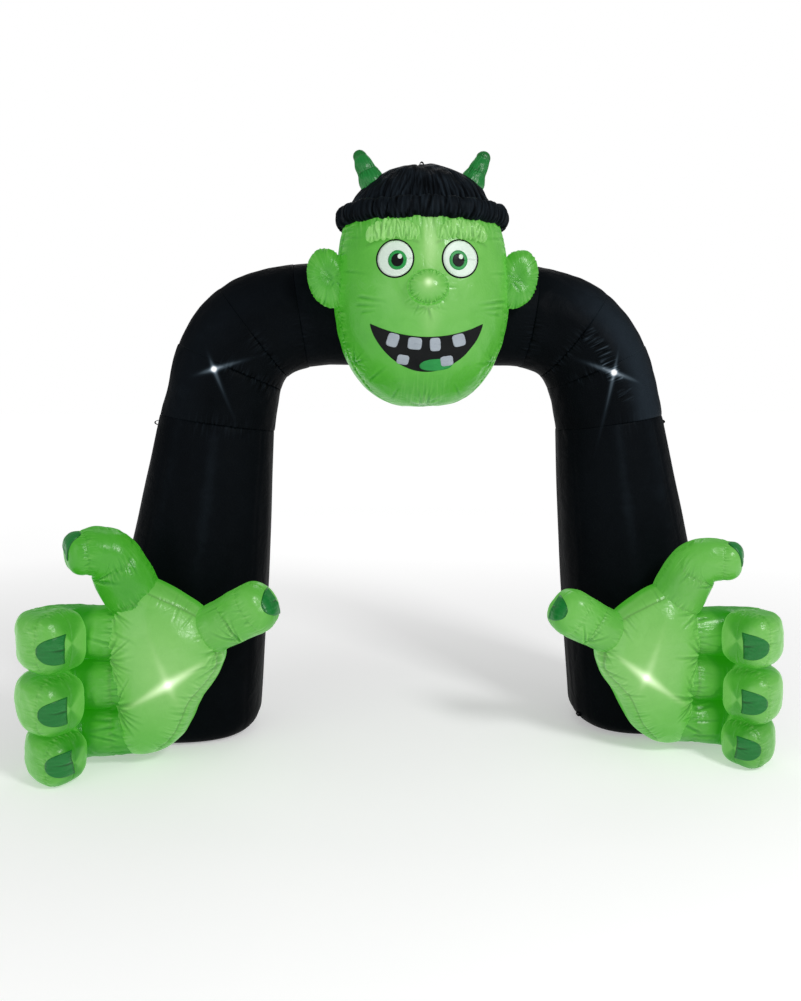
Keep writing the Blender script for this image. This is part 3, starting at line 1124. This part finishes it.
def lay_on(flat, face, cloth, reach=0.004):
    """Height along a direction of the cloth under flat points: the highest of the cloth's points nearby."""
    shown = (outwards(cloth) @ face) > 0.05
    points = cloth[shown]
    side = unit(np.cross(face, (0.3, 0.1, 0.9)))
    other = np.cross(face, side)
    seen = np.stack([points @ side, points @ other], axis=-1)
    asked = np.stack([flat @ side, flat @ other], axis=-1)
    apart = np.sum((asked[:, None] - seen[None]) ** 2, axis=-1)
    near = apart <= np.maximum(reach**2, apart.min(axis=1, keepdims=True))
    return np.where(near, (points @ face)[None], -np.inf).max(axis=1)


def smoothed(heights, times):
    """A grid of heights evened out with its neighbours, some times over."""
    for _ in range(times):
        padded = np.pad(heights, 1, mode="edge")
        heights = (padded[1:-1, 1:-1] * 2 + padded[:-2, 1:-1] + padded[2:, 1:-1] + padded[1:-1, :-2]
                   + padded[1:-1, 2:]) / 6
    return heights


def make_nail(side, sign, row, cloth, centre):
    """A nail patch laid on its finger: straight free edge, half-ellipse cuticle, a few pulls at its edge."""
    name, facing, edge, length, width, offset = row
    face = unit(np.array(facing))
    tip = unit(np.array(edge) - face * (np.array(edge) @ face))
    side_way = np.cross(face, tip)
    steps = 30
    a = 0.5 - np.linspace(0, 1, steps) ** 1.25
    half = 0.5 * width * np.sqrt(np.maximum(1 - (0.985 * (0.5 - a)) ** 2, 0))
    b = np.linspace(-1, 1, steps)
    p = np.repeat((a * length)[:, None], steps, axis=1) + offset
    q = half[:, None] * b[None, :]
    flat = centre + p[..., None] * tip + q[..., None] * side_way
    base = flat - (flat @ face)[..., None] * face
    height = smoothed(lay_on(flat.reshape(-1, 3), face, cloth).reshape(steps, steps), 5)
    ends = np.minimum(np.linspace(0, 1, steps), np.linspace(1, 0, steps))
    rim = np.minimum(1 - np.abs(b)[None, :], ends[:, None])
    pulls = creases(q, p, fan((0.0, offset + length / 2), 270, 34, 0.004, 0.050, 4, 0.0036, 0.0016,
                              200 + sign))
    lift = 0.0026 * ease(0.0, 0.07, rim) + 0.0014
    top = base + (height + lift + pulls)[..., None] * face
    under = base + (height - 0.006)[..., None] * face
    layers = {"seam": 0.8 * bell(rim, 0.035), "lit": 0.5 + 0 * q, "glow": 0 * q, "run": q, "off": p,
              "near": 0.5 + 0 * q, "fold": np.clip(pulls / 0.002, -1, 1)}
    node = f"{side}_{name}_nail"
    piece = thin_patch(f"{node}_cloth", to_hand(top, sign), to_hand(under, sign), q, p, layers, DARK_GREEN)
    wear(piece, node)


def make_hand(side, sign):
    """One hand: palm, three curled fingers, index finger, thumb and their nails."""
    make_palm(side, sign)
    made = {}
    kinds = (make_curled_finger, CURLED_FINGERS, 300), (make_open_finger, OPEN_FINGERS, 400)
    for make, rows, seed in kinds:
        for number, row in enumerate(rows):
            made[row[0]] = make(side, sign, row, seed + 20 * number + sign)
    for row in NAILS:
        make_nail(side, sign, row, *made[row[0]])


# Head

def egg(turn, level, proud=0.0):
    """Points of the egg-shaped head about its axis, at angles round it and degrees from its widest ring."""
    rise = np.radians(level)
    full = np.cos(rise) ** HEAD_FULLNESS
    side, front = round_square(turn, HEAD_SQUARENESS)
    height = HEAD_Z + np.where(level < 0, HEAD_DROP, HEAD_RISE) * np.sin(rise)
    return np.stack([side * (HEAD_HALF_WIDTH * full + proud), -front * (HEAD_HALF_DEPTH * full + proud),
                     height + 0 * side], axis=-1)


def face_y(x, z):
    """Depth of the head's front at a place of the face: the superellipse of its level, solved for y."""
    sine = (z - HEAD_Z) / np.where(z < HEAD_Z, HEAD_DROP, HEAD_RISE)
    full = np.maximum(1 - sine**2, 1e-6) ** (HEAD_FULLNESS / 2)
    across = np.minimum(np.abs(x) / (HEAD_HALF_WIDTH * full), 0.999)
    return -HEAD_HALF_DEPTH * full * (1 - across**HEAD_SQUARENESS) ** (1 / HEAD_SQUARENESS)


# Creases on the face in (x, z) from the head's axis: cheeks, forehead and chin
FACE_CREASES = (
    (-0.245, 1.802, -0.150, 1.780, 0.0060, 0.0046), (-0.255, 1.775, -0.175, 1.766, 0.0050, 0.0036),
    (-0.240, 1.748, -0.190, 1.752, 0.0050, 0.0030), (0.305, 1.794, 0.185, 1.772, 0.0060, 0.0050),
    (0.295, 1.768, 0.205, 1.756, 0.0050, 0.0038), (0.285, 1.742, 0.225, 1.744, 0.0050, 0.0032),
    (-0.205, 1.500, -0.150, 1.545, 0.0055, 0.0040), (0.020, 1.395, 0.012, 1.462, 0.0060, 0.0040),
    (-0.012, 1.398, -0.020, 1.440, 0.0050, 0.0032), (0.315, 2.040, 0.225, 2.022, 0.0060, 0.0044),
    (-0.312, 2.040, -0.240, 2.026, 0.0055, 0.0036), (-0.300, 1.905, -0.215, 1.884, 0.0055, 0.0036),
    (0.300, 1.900, 0.232, 1.890, 0.0050, 0.0032), (0.140, 1.440, 0.110, 1.482, 0.0050, 0.0036),
    (-0.120, 1.430, -0.100, 1.468, 0.0050, 0.0034), (-0.030, 2.050, -0.018, 1.985, 0.0055, 0.0030),
)
FACE_FANS = (
    # centre, heading, spread, inner, outer, count, width, depth
    ((0.0, 1.388), 90, 80, 0.012, 0.085, 13, 0.0050, 0.0040),
    ((0.275, 1.560), 150, 62, 0.010, 0.070, 10, 0.0046, 0.0040),
    ((-0.275, 1.560), 30, 62, 0.010, 0.070, 10, 0.0046, 0.0040),
    ((0.0, 1.762), 270, 80, 0.014, 0.075, 9, 0.0046, 0.0034),
    ((0.0, 1.832), 90, 250, 0.078, 0.115, 26, 0.0044, 0.0026),
)
SIDE_SEAM_TURN = 1.24


def side_seam_off(turn, level):
    """Distance off the head's side seams, which run from the cap down to the chin."""
    return (np.abs(turn) - SIDE_SEAM_TURN) * 0.34 * np.cos(np.radians(level)) ** HEAD_FULLNESS


def head_folds(turn, level, points):
    """Gathers and creases of the head: across its side seams, under the cap, at chin, cheeks and nose."""
    x, z = points[..., 0], points[..., 2]
    off = side_seam_off(turn, level)
    folds = creases(z + 0 * turn, off + 0 * z, gathers(1.42, 2.15, 0.0120, 0.042, 0.0040, 0.0044, 500))
    below_cap = np.radians(CAP_LEVEL - level) * 0.42 + 0 * turn
    table = gathers(-1.2, 1.2, 0.0160, 0.080, 0.0046, 0.0046, 510, both_sides=False)
    folds = folds + creases(turn * 0.32 + 0 * level, below_cap, table)
    tables = [fan(*row, seed=512 + number) for number, row in enumerate(FACE_FANS)]
    front = ease(1.30, 1.05, np.abs(turn))
    return folds + 0.7 * front * creases(x, z, np.concatenate(tables + [np.array(FACE_CREASES)]))


def head_relief(turn, level, points):
    """Slow unevenness of the head's cloth, and its side seams drawn in."""
    seams = -0.0056 * bell(side_seam_off(turn, level), 0.0075)
    return seams + 0.0024 * unevenness(points, 0.24, 520) + 0.0008 * unevenness(points, 0.07, 521)


def make_head():
    """The green face and jaw, from the chin up under the cap."""
    turn = turns(340, 0.45)[None, :]
    low = -np.degrees(np.arcsin(np.linspace(0, 1, 112)))[::-1]
    low[0] = -89.3
    level = np.concatenate([low, np.linspace(0.8, CAP_LEVEL + 1.5, 58)])[:, None]
    grid = egg(turn, level)
    folds = head_folds(turn, level, grid)
    off = side_seam_off(turn, level)
    front = ease(1.5, 0.9, np.abs(turn))
    x, z = grid[..., 0], grid[..., 2]
    brow_part = (np.abs(x) - BROW_CENTRE[0]) / BROW_HALF_LENGTH
    below_brow = z - BROW_CENTRE[2] - BROW_RISE * (1 - brow_part**2) + 1.25 * BROW_RADIUS
    under_brow = ease(1.05, 0.9, np.abs(brow_part)) * front
    seam = 0.62 * bell(off, 0.0042) + 0.55 * bell(below_brow, 0.006) * under_brow
    streak = bell(x - 0.010, 0.034) * (bell(z - 2.00, 0.13) + 0.5 * bell(z - 1.72, 0.07)) * front
    glow = (0.13 * bell(np.hypot(x - 0.06, z - 1.90), 0.26) + 0.01) * front + 0.26 * streak
    shaded = 0.14 * ease(0.10, 0.32, -x)
    lit = 0.50 + 0.10 * front * bell(x - 0.06, 0.24) - shaded - 0.22 * ease(1.58, 1.44, z)
    near = np.clip(bell(off, 0.05) + bell(z - 2.13, 0.09) + bell(np.hypot(x, z - 1.39), 0.10), 0, 1)
    by_seam = np.abs(off) < 0.08
    sew("head", grid, head_relief(turn, level, grid), folds, FULL_FOLD, turn * 0.34 + 0 * level,
        run_along(grid),
        GREEN, 0.9, to_head, seam=seam, lit=lit, glow=glow, near=near, run=np.where(by_seam, z, x),
        off=np.where(by_seam, off, z))


def make_cap():
    """The padded cap: a dome of eight gores with drawn-in seams and crumpled cloth between them."""
    turn = turns(250, 0.25)[None, :]
    level = np.concatenate([np.linspace(CAP_LEVEL, 80, 52), np.linspace(81.5, 89.5, 8)])[:, None]
    grid = egg(turn, level, CAP_PROUD)
    gore = np.abs(np.sin(4 * (turn + 0.2)))
    off_seam = np.arcsin(np.clip(gore, 0, 1)) / 4 * 0.30
    relief = -0.0052 * bell(off_seam, 0.010) * ease(89, 80, level)
    relief = relief + 0.0040 * unevenness(grid, 0.12, 541) + 0.0012 * unevenness(grid, 0.05, 542)
    up = np.radians(level - CAP_LEVEL) * 0.38 + 0 * turn
    table = gathers(-1.08, 1.08, 0.0210, 0.15, 0.0070, 0.0062, 540, both_sides=False)
    folds = creases(turn * 0.34 + 0 * level, up, table)
    sew("cap", grid, relief, folds, 0.004, turn * 0.30 + 0 * level, run_along(grid), BLACK, 0.85, to_head,
        ease(CAP_LEVEL - 0.5, CAP_LEVEL + 3, level), seam=0.7 * bell(off_seam, 0.004) + 0 * level,
        lit=0.55 + 0.16 * unevenness(grid, 0.10, 543), near=0.8)


def make_brim():
    """The rolled brim: a tube round the cap's seam, squeezed by uneven gathers and turned under at the back.

    Rows go round the head and columns round the roll, so the hoop's two ends meet and both are closed.
    """
    steps, columns = 420, 32
    place = np.linspace(-math.pi, math.pi, steps)[:, None]
    roll = turns(columns)[None, :]
    ring = egg(place, np.array(CAP_LEVEL))[:, 0]
    outward = unit(ring * (1, 1, 0))
    dice = np.random.default_rng(560)
    knots = np.linspace(-math.pi, math.pi, 24)
    knots[1:-1] += dice.normal(0, 0.040, 22)
    index = np.interp(place[:, 0], knots, np.arange(24))
    pinch = np.abs(np.sin(math.pi * index)) ** 0.5
    size = (0.78 + 0.24 * pinch)[:, None]
    sine, cosine = round_square(roll, 2.3)
    reach = (cosine + 1) / 2 * (BRIM_THICKNESS + 0.020) - 0.020
    grid = (ring[:, None] + outward[:, None] * (reach * size)[..., None]
            + np.array([0, 0, 1.0]) * (sine * BRIM_HALF_HEIGHT * size)[..., None])
    relief = 0.0018 * unevenness(grid, 0.09, 561)
    first, second = place * 0.366 + 0 * roll, roll * 0.034 + 0 * place
    folds = creases(first, second, gathers(-1.15, 1.15, 0.0150, 0.070, 0.0050, 0.0056, 563, at=-0.03))
    folds += creases(first, second, gathers(-1.15, 1.15, 0.0230, 0.060, 0.0050, 0.0050, 565, at=0.045))
    around = roll * 0.036 + 0 * place
    along = place * 0.36 + 0 * roll
    sew("brim", grid, relief, folds, 0.004, around, along, BLACK, 0.8, to_head,
        ease(math.pi, math.pi - 0.05, np.abs(place)), seam=0.5 * (1 - pinch)[:, None] ** 3 + 0 * roll,
        lit=0.58,
        near=0.6, run=along, off=around)


def puff(centre, half_size, tilt, rows, columns):
    """A soft ball or disc: an ellipsoid turned about the y axis, with its rows from bottom to top."""
    turn = turns(columns)[None, :]
    rise = np.radians(np.linspace(-88.5, 88.5, rows))[:, None]
    lean = math.radians(tilt)
    points = np.stack([np.sin(turn) * half_size[0] * np.cos(rise),
                       -np.cos(turn) * half_size[1] * np.cos(rise),
                       half_size[2] * np.sin(rise) + 0 * turn], axis=-1)
    spin = np.array([[math.cos(lean), 0, math.sin(lean)], [0, 1, 0], [-math.sin(lean), 0, math.cos(lean)]])
    return points @ spin.T + np.array(centre), turn, rise


def make_nose():
    """The ball nose: gathered all round where it is sewn on, with the lamp's glow on its front."""
    grid, turn, rise = puff(NOSE_PLACE, NOSE_HALF_SIZE, 0, 84, 110)
    away = grid - np.array(NOSE_PLACE)
    polar = np.arctan2(away[..., 2], away[..., 0])
    from_front = np.arccos(np.clip(-away[..., 1] / NOSE_HALF_SIZE[1], -1, 1))
    rim = (1.16 - from_front) * 0.07
    table = gathers(-0.225, 0.225, 0.0100, 0.030, 0.0030, 0.0040, 580, both_sides=False)
    folds = creases(polar * 0.072, rim, table)
    relief = 0.0010 * unevenness(grid, 0.05, 581) - 0.0036 * bell(rim, 0.005)
    spot = np.hypot(away[..., 0] + 0.004, away[..., 2] - 0.012)
    glow = 0.16 * bell(from_front, 0.9) + 0.40 * bell(spot, 0.014) + 0.16 * bell(spot, 0.034)
    sew("nose", grid, relief, folds, 0.0026, turn * 0.07 + 0 * rise, run_along(grid), GREEN, 0.95, to_head,
        seam=0.6 * bell(rim, 0.0034), lit=0.58, glow=glow * (away[..., 1] < 0), near=bell(rim, 0.03),
        run=polar * 0.07, off=rim)


def make_ear(side, sign):
    """A round ear: two panels sewn at the rim, gathered along it, and dished in at its front."""
    centre = np.array(EAR_PLACE) * (sign, 1, 1)
    grid, turn, rise = puff(centre, EAR_HALF_SIZE, sign * EAR_TILT, 76, 92)
    away = grid - centre
    polar = np.arctan2(away[..., 2], away[..., 0])
    reach = np.hypot(away[..., 0] / EAR_HALF_SIZE[0], away[..., 2] / EAR_HALF_SIZE[2])
    depth = away[..., 1] / EAR_HALF_SIZE[1]
    to_rim = depth * 0.052
    folds = creases(polar * 0.1, to_rim, gathers(-0.31, 0.31, 0.0105, 0.036, 0.0034, 0.0046, 590 + sign))
    front = ease(0.0, -0.5, depth)
    star = fan((-sign * 0.030, -0.010), 90 - sign * 90, 120, 0.016, 0.060, 6, 0.0044, 0.0020, 594 + sign)
    folds += front * creases(away[..., 0], away[..., 2], star)
    relief = 0.0012 * unevenness(grid, 0.05, 592 + sign) - 0.0040 * bell(to_rim, 0.0055)
    relief -= 0.015 * bell(reach, 0.45) * front
    sew(f"{side}_ear", grid, relief, folds, 0.003, turn * 0.06 + 0 * rise, run_along(grid), GREEN, 0.8,
        to_head,
        seam=0.6 * bell(to_rim, 0.0036), lit=0.40 - 0.22 * bell(reach, 0.4) * front, glow=0.02,
        near=bell(to_rim, 0.04), run=polar * 0.1, off=to_rim)


def make_brow(side, sign):
    """A gathered brow: a roll on an arched line, pinched unevenly along it and crumpled in between."""
    rows, columns = 170, 40
    part = np.linspace(-1, 1, rows)
    x = BROW_CENTRE[0] + part * BROW_HALF_LENGTH
    y = BROW_CENTRE[1] - 0.007 + BROW_SWEEP * ((part + 1) / 2) ** 2
    z = BROW_CENTRE[2] + BROW_RISE * (1 - part**2)
    dice = np.random.default_rng(600 + sign)
    knots = np.linspace(-1, 1, 8) + np.concatenate([[0], dice.normal(0, 0.05, 6), [0]])
    pinch = np.abs(np.sin(math.pi * np.interp(part, knots, np.arange(8)))) ** 0.6
    end = np.sqrt(np.clip(1 - np.abs(part) ** 7, 0.0004, 1))
    size = BROW_RADIUS * (1.02 + 0.34 * pinch) * end
    turn = turns(columns)[None]
    sine, cosine, size = np.sin(turn), np.cos(turn), size[:, None]
    grid = np.stack([x[:, None] + 0 * sine, y[:, None] - cosine * size, z[:, None] + sine * size], axis=-1)
    relief = 0.0030 * unevenness(grid, 0.040, 602 + sign) + 0.0012 * unevenness(grid, 0.020, 604 + sign)
    first, second = part[:, None] * 0.1 + 0 * sine, turn * 0.026 + 0 * part[:, None]
    folds = creases(first, second, gathers(-0.1, 0.1, 0.0110, 0.060, 0.0036, 0.0060, 606 + sign, at=-0.02))
    folds += creases(first, second, gathers(-0.1, 0.1, 0.0150, 0.050, 0.0036, 0.0056, 608 + sign, at=0.03))
    sew(f"{side}_brow", grid, relief, folds, 0.003, second, run_along(grid), GREEN, 0.7,
        lambda points: to_head(points, sign), end[:, None], seam=0.35 * (1 - pinch)[:, None] ** 3 + 0 * sine,
        lit=0.74, glow=0.20, near=0.5, run=first, off=second)


def make_horn(side, sign):
    """A stubby horn: a leaning taper drawn in at three rings, with gathers up from each ring."""
    lean = math.radians(HORN_LEAN)
    axis = np.array([math.sin(lean), 0, math.cos(lean)])
    across = np.array([math.cos(lean), 0, -math.sin(lean)])
    foot = np.array(HORN_FOOT)
    part = np.concatenate([np.linspace(0, 1, 84), np.ones(12)])
    bend = np.concatenate([np.zeros(84), np.radians(np.linspace(0, 87, 13)[1:])])
    ringed = np.abs(np.sin(math.pi * part * HORN_RINGS)) ** 0.6
    radius = HORN_FOOT_RADIUS + (HORN_TIP_RADIUS - HORN_FOOT_RADIUS) * part
    radius = (radius - 0.009 * (1 - ringed) * (1 - part) ** 0.5 * (part > 0.02)) * np.cos(bend) ** 0.9
    turn = turns(80)
    line = foot + axis * (HORN_LENGTH * part + HORN_TIP_RADIUS * np.sin(bend))[:, None]
    ring = np.sin(turn)[:, None] * across - np.cos(turn)[:, None] * np.array([0, 1.0, 0])
    grid = line[:, None] + radius[:, None, None] * ring
    along = np.broadcast_to((HORN_LENGTH * part + HORN_TIP_RADIUS * bend)[:, None], grid.shape[:2])
    around = turn[None, :] * 0.06 + 0 * along
    relief = 0.0012 * unevenness(grid, 0.05, 620 + sign)
    folds = 0 * along
    for number in range(1, HORN_RINGS):
        table = gathers(-0.2, 0.2, 0.0100, 0.032, 0.0034, 0.0044, 622 + 3 * number + sign)
        folds = folds + creases(around, along - HORN_LENGTH * number / HORN_RINGS, table)
    sew(f"{side}_horn", grid, relief, folds, 0.003, around, along, DARK_GREEN, 0.9,
        lambda points: to_head(points, sign), np.cos(bend)[:, None],
        seam=0.6 * (1 - ringed)[:, None] ** 4 + 0 * along, lit=0.5, near=0.6)


def face_print(name, x, z, material, lift=0.0022, sunk=0.003):
    """A print or sewn patch on the face: a grid of places (x, z) laid on the head's surface."""
    points = np.stack([x, face_y(x, z), z], axis=-1)
    step = 1e-3
    slope_x = (face_y(x + step, z) - face_y(x - step, z)) / (2 * step)
    slope_z = (face_y(x, z + step) - face_y(x, z - step)) / (2 * step)
    normals = unit(np.stack([slope_x, -np.ones_like(x), slope_z], axis=-1))
    sine = (z - HEAD_Z) / np.where(z < HEAD_Z, HEAD_DROP, HEAD_RISE)
    level = np.degrees(np.arcsin(np.clip(sine, -1, 1)))
    turn = np.arctan2(x / HEAD_HALF_WIDTH, -points[..., 1] / HEAD_HALF_DEPTH)
    relief = head_relief(turn, level, points) + head_folds(turn, level, points)
    top, under = (to_head(points + normals * (relief + off)[..., None]) for off in (lift, -sunk))
    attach(thin_patch(name, top, under, x, z, {}, material), "root")


def disc(centre, half_width, half_height, tilt=0.0, squareness=2.0, rings=10, columns=56):
    """Places (x, z) of a filled oval as rings from its middle to its rim, cut open along one radius."""
    part = np.linspace(0.001, 1, rings)[:, None]
    sine, cosine = round_square(np.linspace(0, TAU, columns)[None, :], squareness)
    lean = math.radians(tilt)
    a, b = part * half_width * cosine, part * half_height * sine
    return (centre[0] + a * math.cos(lean) - b * math.sin(lean),
            centre[1] + a * math.sin(lean) + b * math.cos(lean))


EYE_X, EYE_Z, EYE_RADIUS = 0.120, 1.938, 0.064
MOUTH_HALF_WIDTH, MOUTH_TOP, MOUTH_LIFT, MOUTH_OPEN = 0.212, 1.652, 0.052, 0.128
TEETH = (
    # part of the mouth's half width, up or down, half width, half height
    (-0.60, "up", 0.021, 0.024), (-0.22, "up", 0.026, 0.022), (0.14, "up", 0.020, 0.024), (0.56, "up", 0.024,
                                                                                           0.022),
    (-0.42, "down", 0.022, 0.017), (0.36, "down", 0.024, 0.018),
)


def mouth_edges(part):
    """Upper and lower edge of the smile at parts -1 to 1 of its half width: a crescent, corners raised."""
    upper = MOUTH_TOP + MOUTH_LIFT * part**2
    return upper, upper - MOUTH_OPEN * (1 - part**2) ** 0.62


def make_face():
    """Eyes, smile, teeth and tongue as prints on the face."""
    for side, sign in (("left", -1), ("right", 1)):
        centre = (sign * EYE_X, EYE_Z)
        pupil = (centre[0] - sign * 0.008, centre[1] - 0.006)
        light = (pupil[0] + 0.009, pupil[1] + 0.013)
        for name, place, half_width, half_height, material, lift in (
            ("outline", centre, EYE_RADIUS + 0.006, EYE_RADIUS + 0.008, PRINT_BLACK, 0.0014),
            ("white", centre, EYE_RADIUS, EYE_RADIUS + 0.002, PRINT_PALE, 0.0022),
            ("iris", pupil, 0.034, 0.036, PRINT_LEAF, 0.0028),
            ("pupil", pupil, 0.022, 0.024, PRINT_BLACK, 0.0034),
            ("light", light, 0.008, 0.009, PRINT_PALE, 0.0040),
        ):
            face_print(f"{side}_eye_{name}", *disc(place, half_width, half_height), material, lift)
    part = np.sin(np.linspace(-math.pi / 2, math.pi / 2, 100))[None, :] * 0.999
    upper, lower = mouth_edges(part)
    down = np.linspace(0, 1, 26)[:, None]
    face_print("smile", MOUTH_HALF_WIDTH * part + 0 * down, upper + (lower - upper) * down, PRINT_BLACK,
               0.0020)
    low = mouth_edges(0.0)[1]
    face_print("tongue", *disc((0.035, low + 0.026), 0.062, 0.021, 4.0, 2.2), PRINT_LEAF, 0.0028)
    for number, (place, way, half_width, half_height) in enumerate(TEETH):
        upper, lower = mouth_edges(place)
        slope = math.degrees(math.atan2(2 * MOUTH_LIFT * place, MOUTH_HALF_WIDTH))
        z = upper - half_height - 0.004 if way == "up" else lower + half_height + 0.006
        tooth = disc((MOUTH_HALF_WIDTH * place, z), half_width, half_height, slope, 4.5, 8, 48)
        face_print(f"tooth_{number + 1}", *tooth, PRINT_GREY, 0.0034)


# Loops

def make_loop(name, place, out):
    """A webbing eye: the band's narrow section carried along a half ellipse that ends in the cloth."""
    turn = np.linspace(-math.pi / 2 - 0.25, math.pi / 2 + 0.25, 40)
    out = unit(np.array(out, float))
    across = np.array([0.0, 1.0, 0.0])
    rise = np.cross(out, across)
    line = np.outer((LOOP_REACH - WEB_THICKNESS / 2) * np.cos(turn), out) + np.outer(
        (LOOP_HALF_HEIGHT - WEB_THICKNESS / 2) * np.sin(turn), rise)
    normals = unit(np.outer(np.cos(turn) * LOOP_HALF_HEIGHT, out) + np.outer(np.sin(turn) * LOOP_REACH, rise))
    corner = turns(28)
    sine, cosine = round_square(corner, 5.0)
    grid = (line[:, None] + normals[:, None] * (cosine * WEB_THICKNESS / 2)[None, :, None]
            + across * (sine * WEB_WIDTH / 2)[None, :, None]) + np.array(place) + ROOT
    around = np.broadcast_to((sine * WEB_WIDTH / 2)[None, :], grid.shape[:2])
    wear(closed_skin(f"{name}_webbing", grid, around, run_along(grid), {}, WEBBING), name)


def make_loops():
    """Two tether loops at the shoulders, one on the cap and the stake loop at the right foot."""
    for side, sign, scale, *_ in SIDES:
        edge = LEG_TOP_X + scale * LEG_TOP_HALF_WIDTH
        make_loop(f"{side}_tether_loop", (sign * edge, 0, LEG_TOP_Z), (sign, 0, 0))
    top = HEAD_PLACE + (0, 0, HEAD_Z + HEAD_RISE + CAP_PROUD - 0.004)
    make_loop("top_tether_loop", top, (0, 0, 1))
    inner = FOOT_X - SIDES[1][2] * FOOT_HALF_WIDTH + 0.018
    make_loop("right_stake_loop", (inner, -0.100, 0.056), (-0.921, 0.0, -0.390))


# Studio

CAMERA_PLACE = (-0.2226, -3.9787, 1.4500)
CAMERA_TILT = 83.651        # degrees up from straight down
CAMERA_TURN = -3.043        # degrees from facing the back
CAMERA_LENS = 35.22
FLOOR_HALF_SIZE = 60.0
# Grey light that the floor gives at tenths of the metres from its middle
FLOOR_LIGHT = ((0.10, (0.36,) * 3), (0.30, (0.50,) * 3), (0.55, (0.68,) * 3), (0.95, (0.78,) * 3))
WHITE = (1.0, 1.0, 1.0, 1.0)
WORLD_LIGHT = 0.28
LAMPS = (
    # name, place, aim, side, watts
    ("key", (2.9, -4.4, 4.2), (0.1, 0.0, 1.1), 1.3, 190.0),
    ("fill", (-3.4, -4.2, 2.4), (-0.1, 0.0, 1.0), 3.0, 36.0),
    ("back", (0.5, 5.2, 4.6), (0.0, 0.0, 1.2), 3.2, 45.0),
)


def add_object(name, data):
    """A new object in the scene."""
    made = bpy.data.objects.new(name, data)
    bpy.context.scene.collection.objects.link(made)
    return made


def make_floor():
    """A wide pale floor, a little brighter far off."""
    mesh = bpy.data.meshes.new("floor")
    corners = [(x * FLOOR_HALF_SIZE, y * FLOOR_HALF_SIZE, 0) for x, y in ((-1, -1), (1, -1), (1, 1), (-1, 1))]
    mesh.from_pydata(corners, [], [(0, 1, 2, 3)])
    material, tree, inputs, spot, _ = new_material("pale_floor", 0.9, 0.0)
    inputs["Base Color"].default_value = (0.80, 0.80, 0.80, 1.0)
    away = calc(tree, "MULTIPLY", vector(tree, "LENGTH", "Value", spot), 0.1)
    feed(tree, ramp(tree, away, FLOOR_LIGHT), inputs["Emission Color"])
    inputs["Emission Strength"].default_value = 1.0
    mesh.materials.append(material)
    add_object("floor", mesh)


def make_studio():
    """The floor, a pale world that is dimmer as a light, soft lamps and the photograph's camera."""
    make_floor()
    world = bpy.data.worlds.new("studio")
    bpy.context.scene.world = world
    world.use_nodes = True
    tree = world.node_tree
    feed(tree, WHITE, tree.nodes["Background"].inputs["Color"])
    feed(tree, 1.0, tree.nodes["Background"].inputs["Strength"])
    seen = add_node(tree, "LightPath", "Is Camera Ray", {})
    lighting = add_node(tree, "Background", 0, {"Color": WHITE, "Strength": WORLD_LIGHT})
    mix = add_node(tree, "MixShader", 0, {0: seen, 1: lighting, 2: tree.nodes["Background"].outputs[0]})
    feed(tree, mix, tree.nodes["World Output"].inputs["Surface"])
    for name, place, aim, size, power in LAMPS:
        lamp = bpy.data.lights.new(name, "AREA")
        lamp.shape = "SQUARE"
        lamp.size = size
        lamp.energy = power
        light = add_object(name, lamp)
        light.location = place
        light.rotation_euler = (Vector(aim) - Vector(place)).to_track_quat("-Z", "Y").to_euler()
    lens = bpy.data.cameras.new("camera")
    lens.sensor_width = 36.0
    lens.lens = CAMERA_LENS
    camera = add_object("camera", lens)
    camera.location = CAMERA_PLACE
    camera.rotation_euler = (math.radians(CAMERA_TILT), 0.0, math.radians(CAMERA_TURN))
    bpy.context.scene.camera = camera
    bpy.context.scene.view_settings.view_transform = "Standard"


make_studio()
make_crown()
for side, sign, section_scale, *_ in SIDES:
    make_leg(side, sign, section_scale)
    for number, (t_low, t_high) in enumerate(zip(ELBOW_SEAMS, ELBOW_SEAMS[1:]), start=1):
        make_gore(side, sign, section_scale, number, t_low, t_high)
    make_hand(side, sign)
    make_ear(side, sign)
    make_brow(side, sign)
    make_horn(side, sign)
make_head()
make_cap()
make_brim()
make_nose()
make_face()
make_loops()
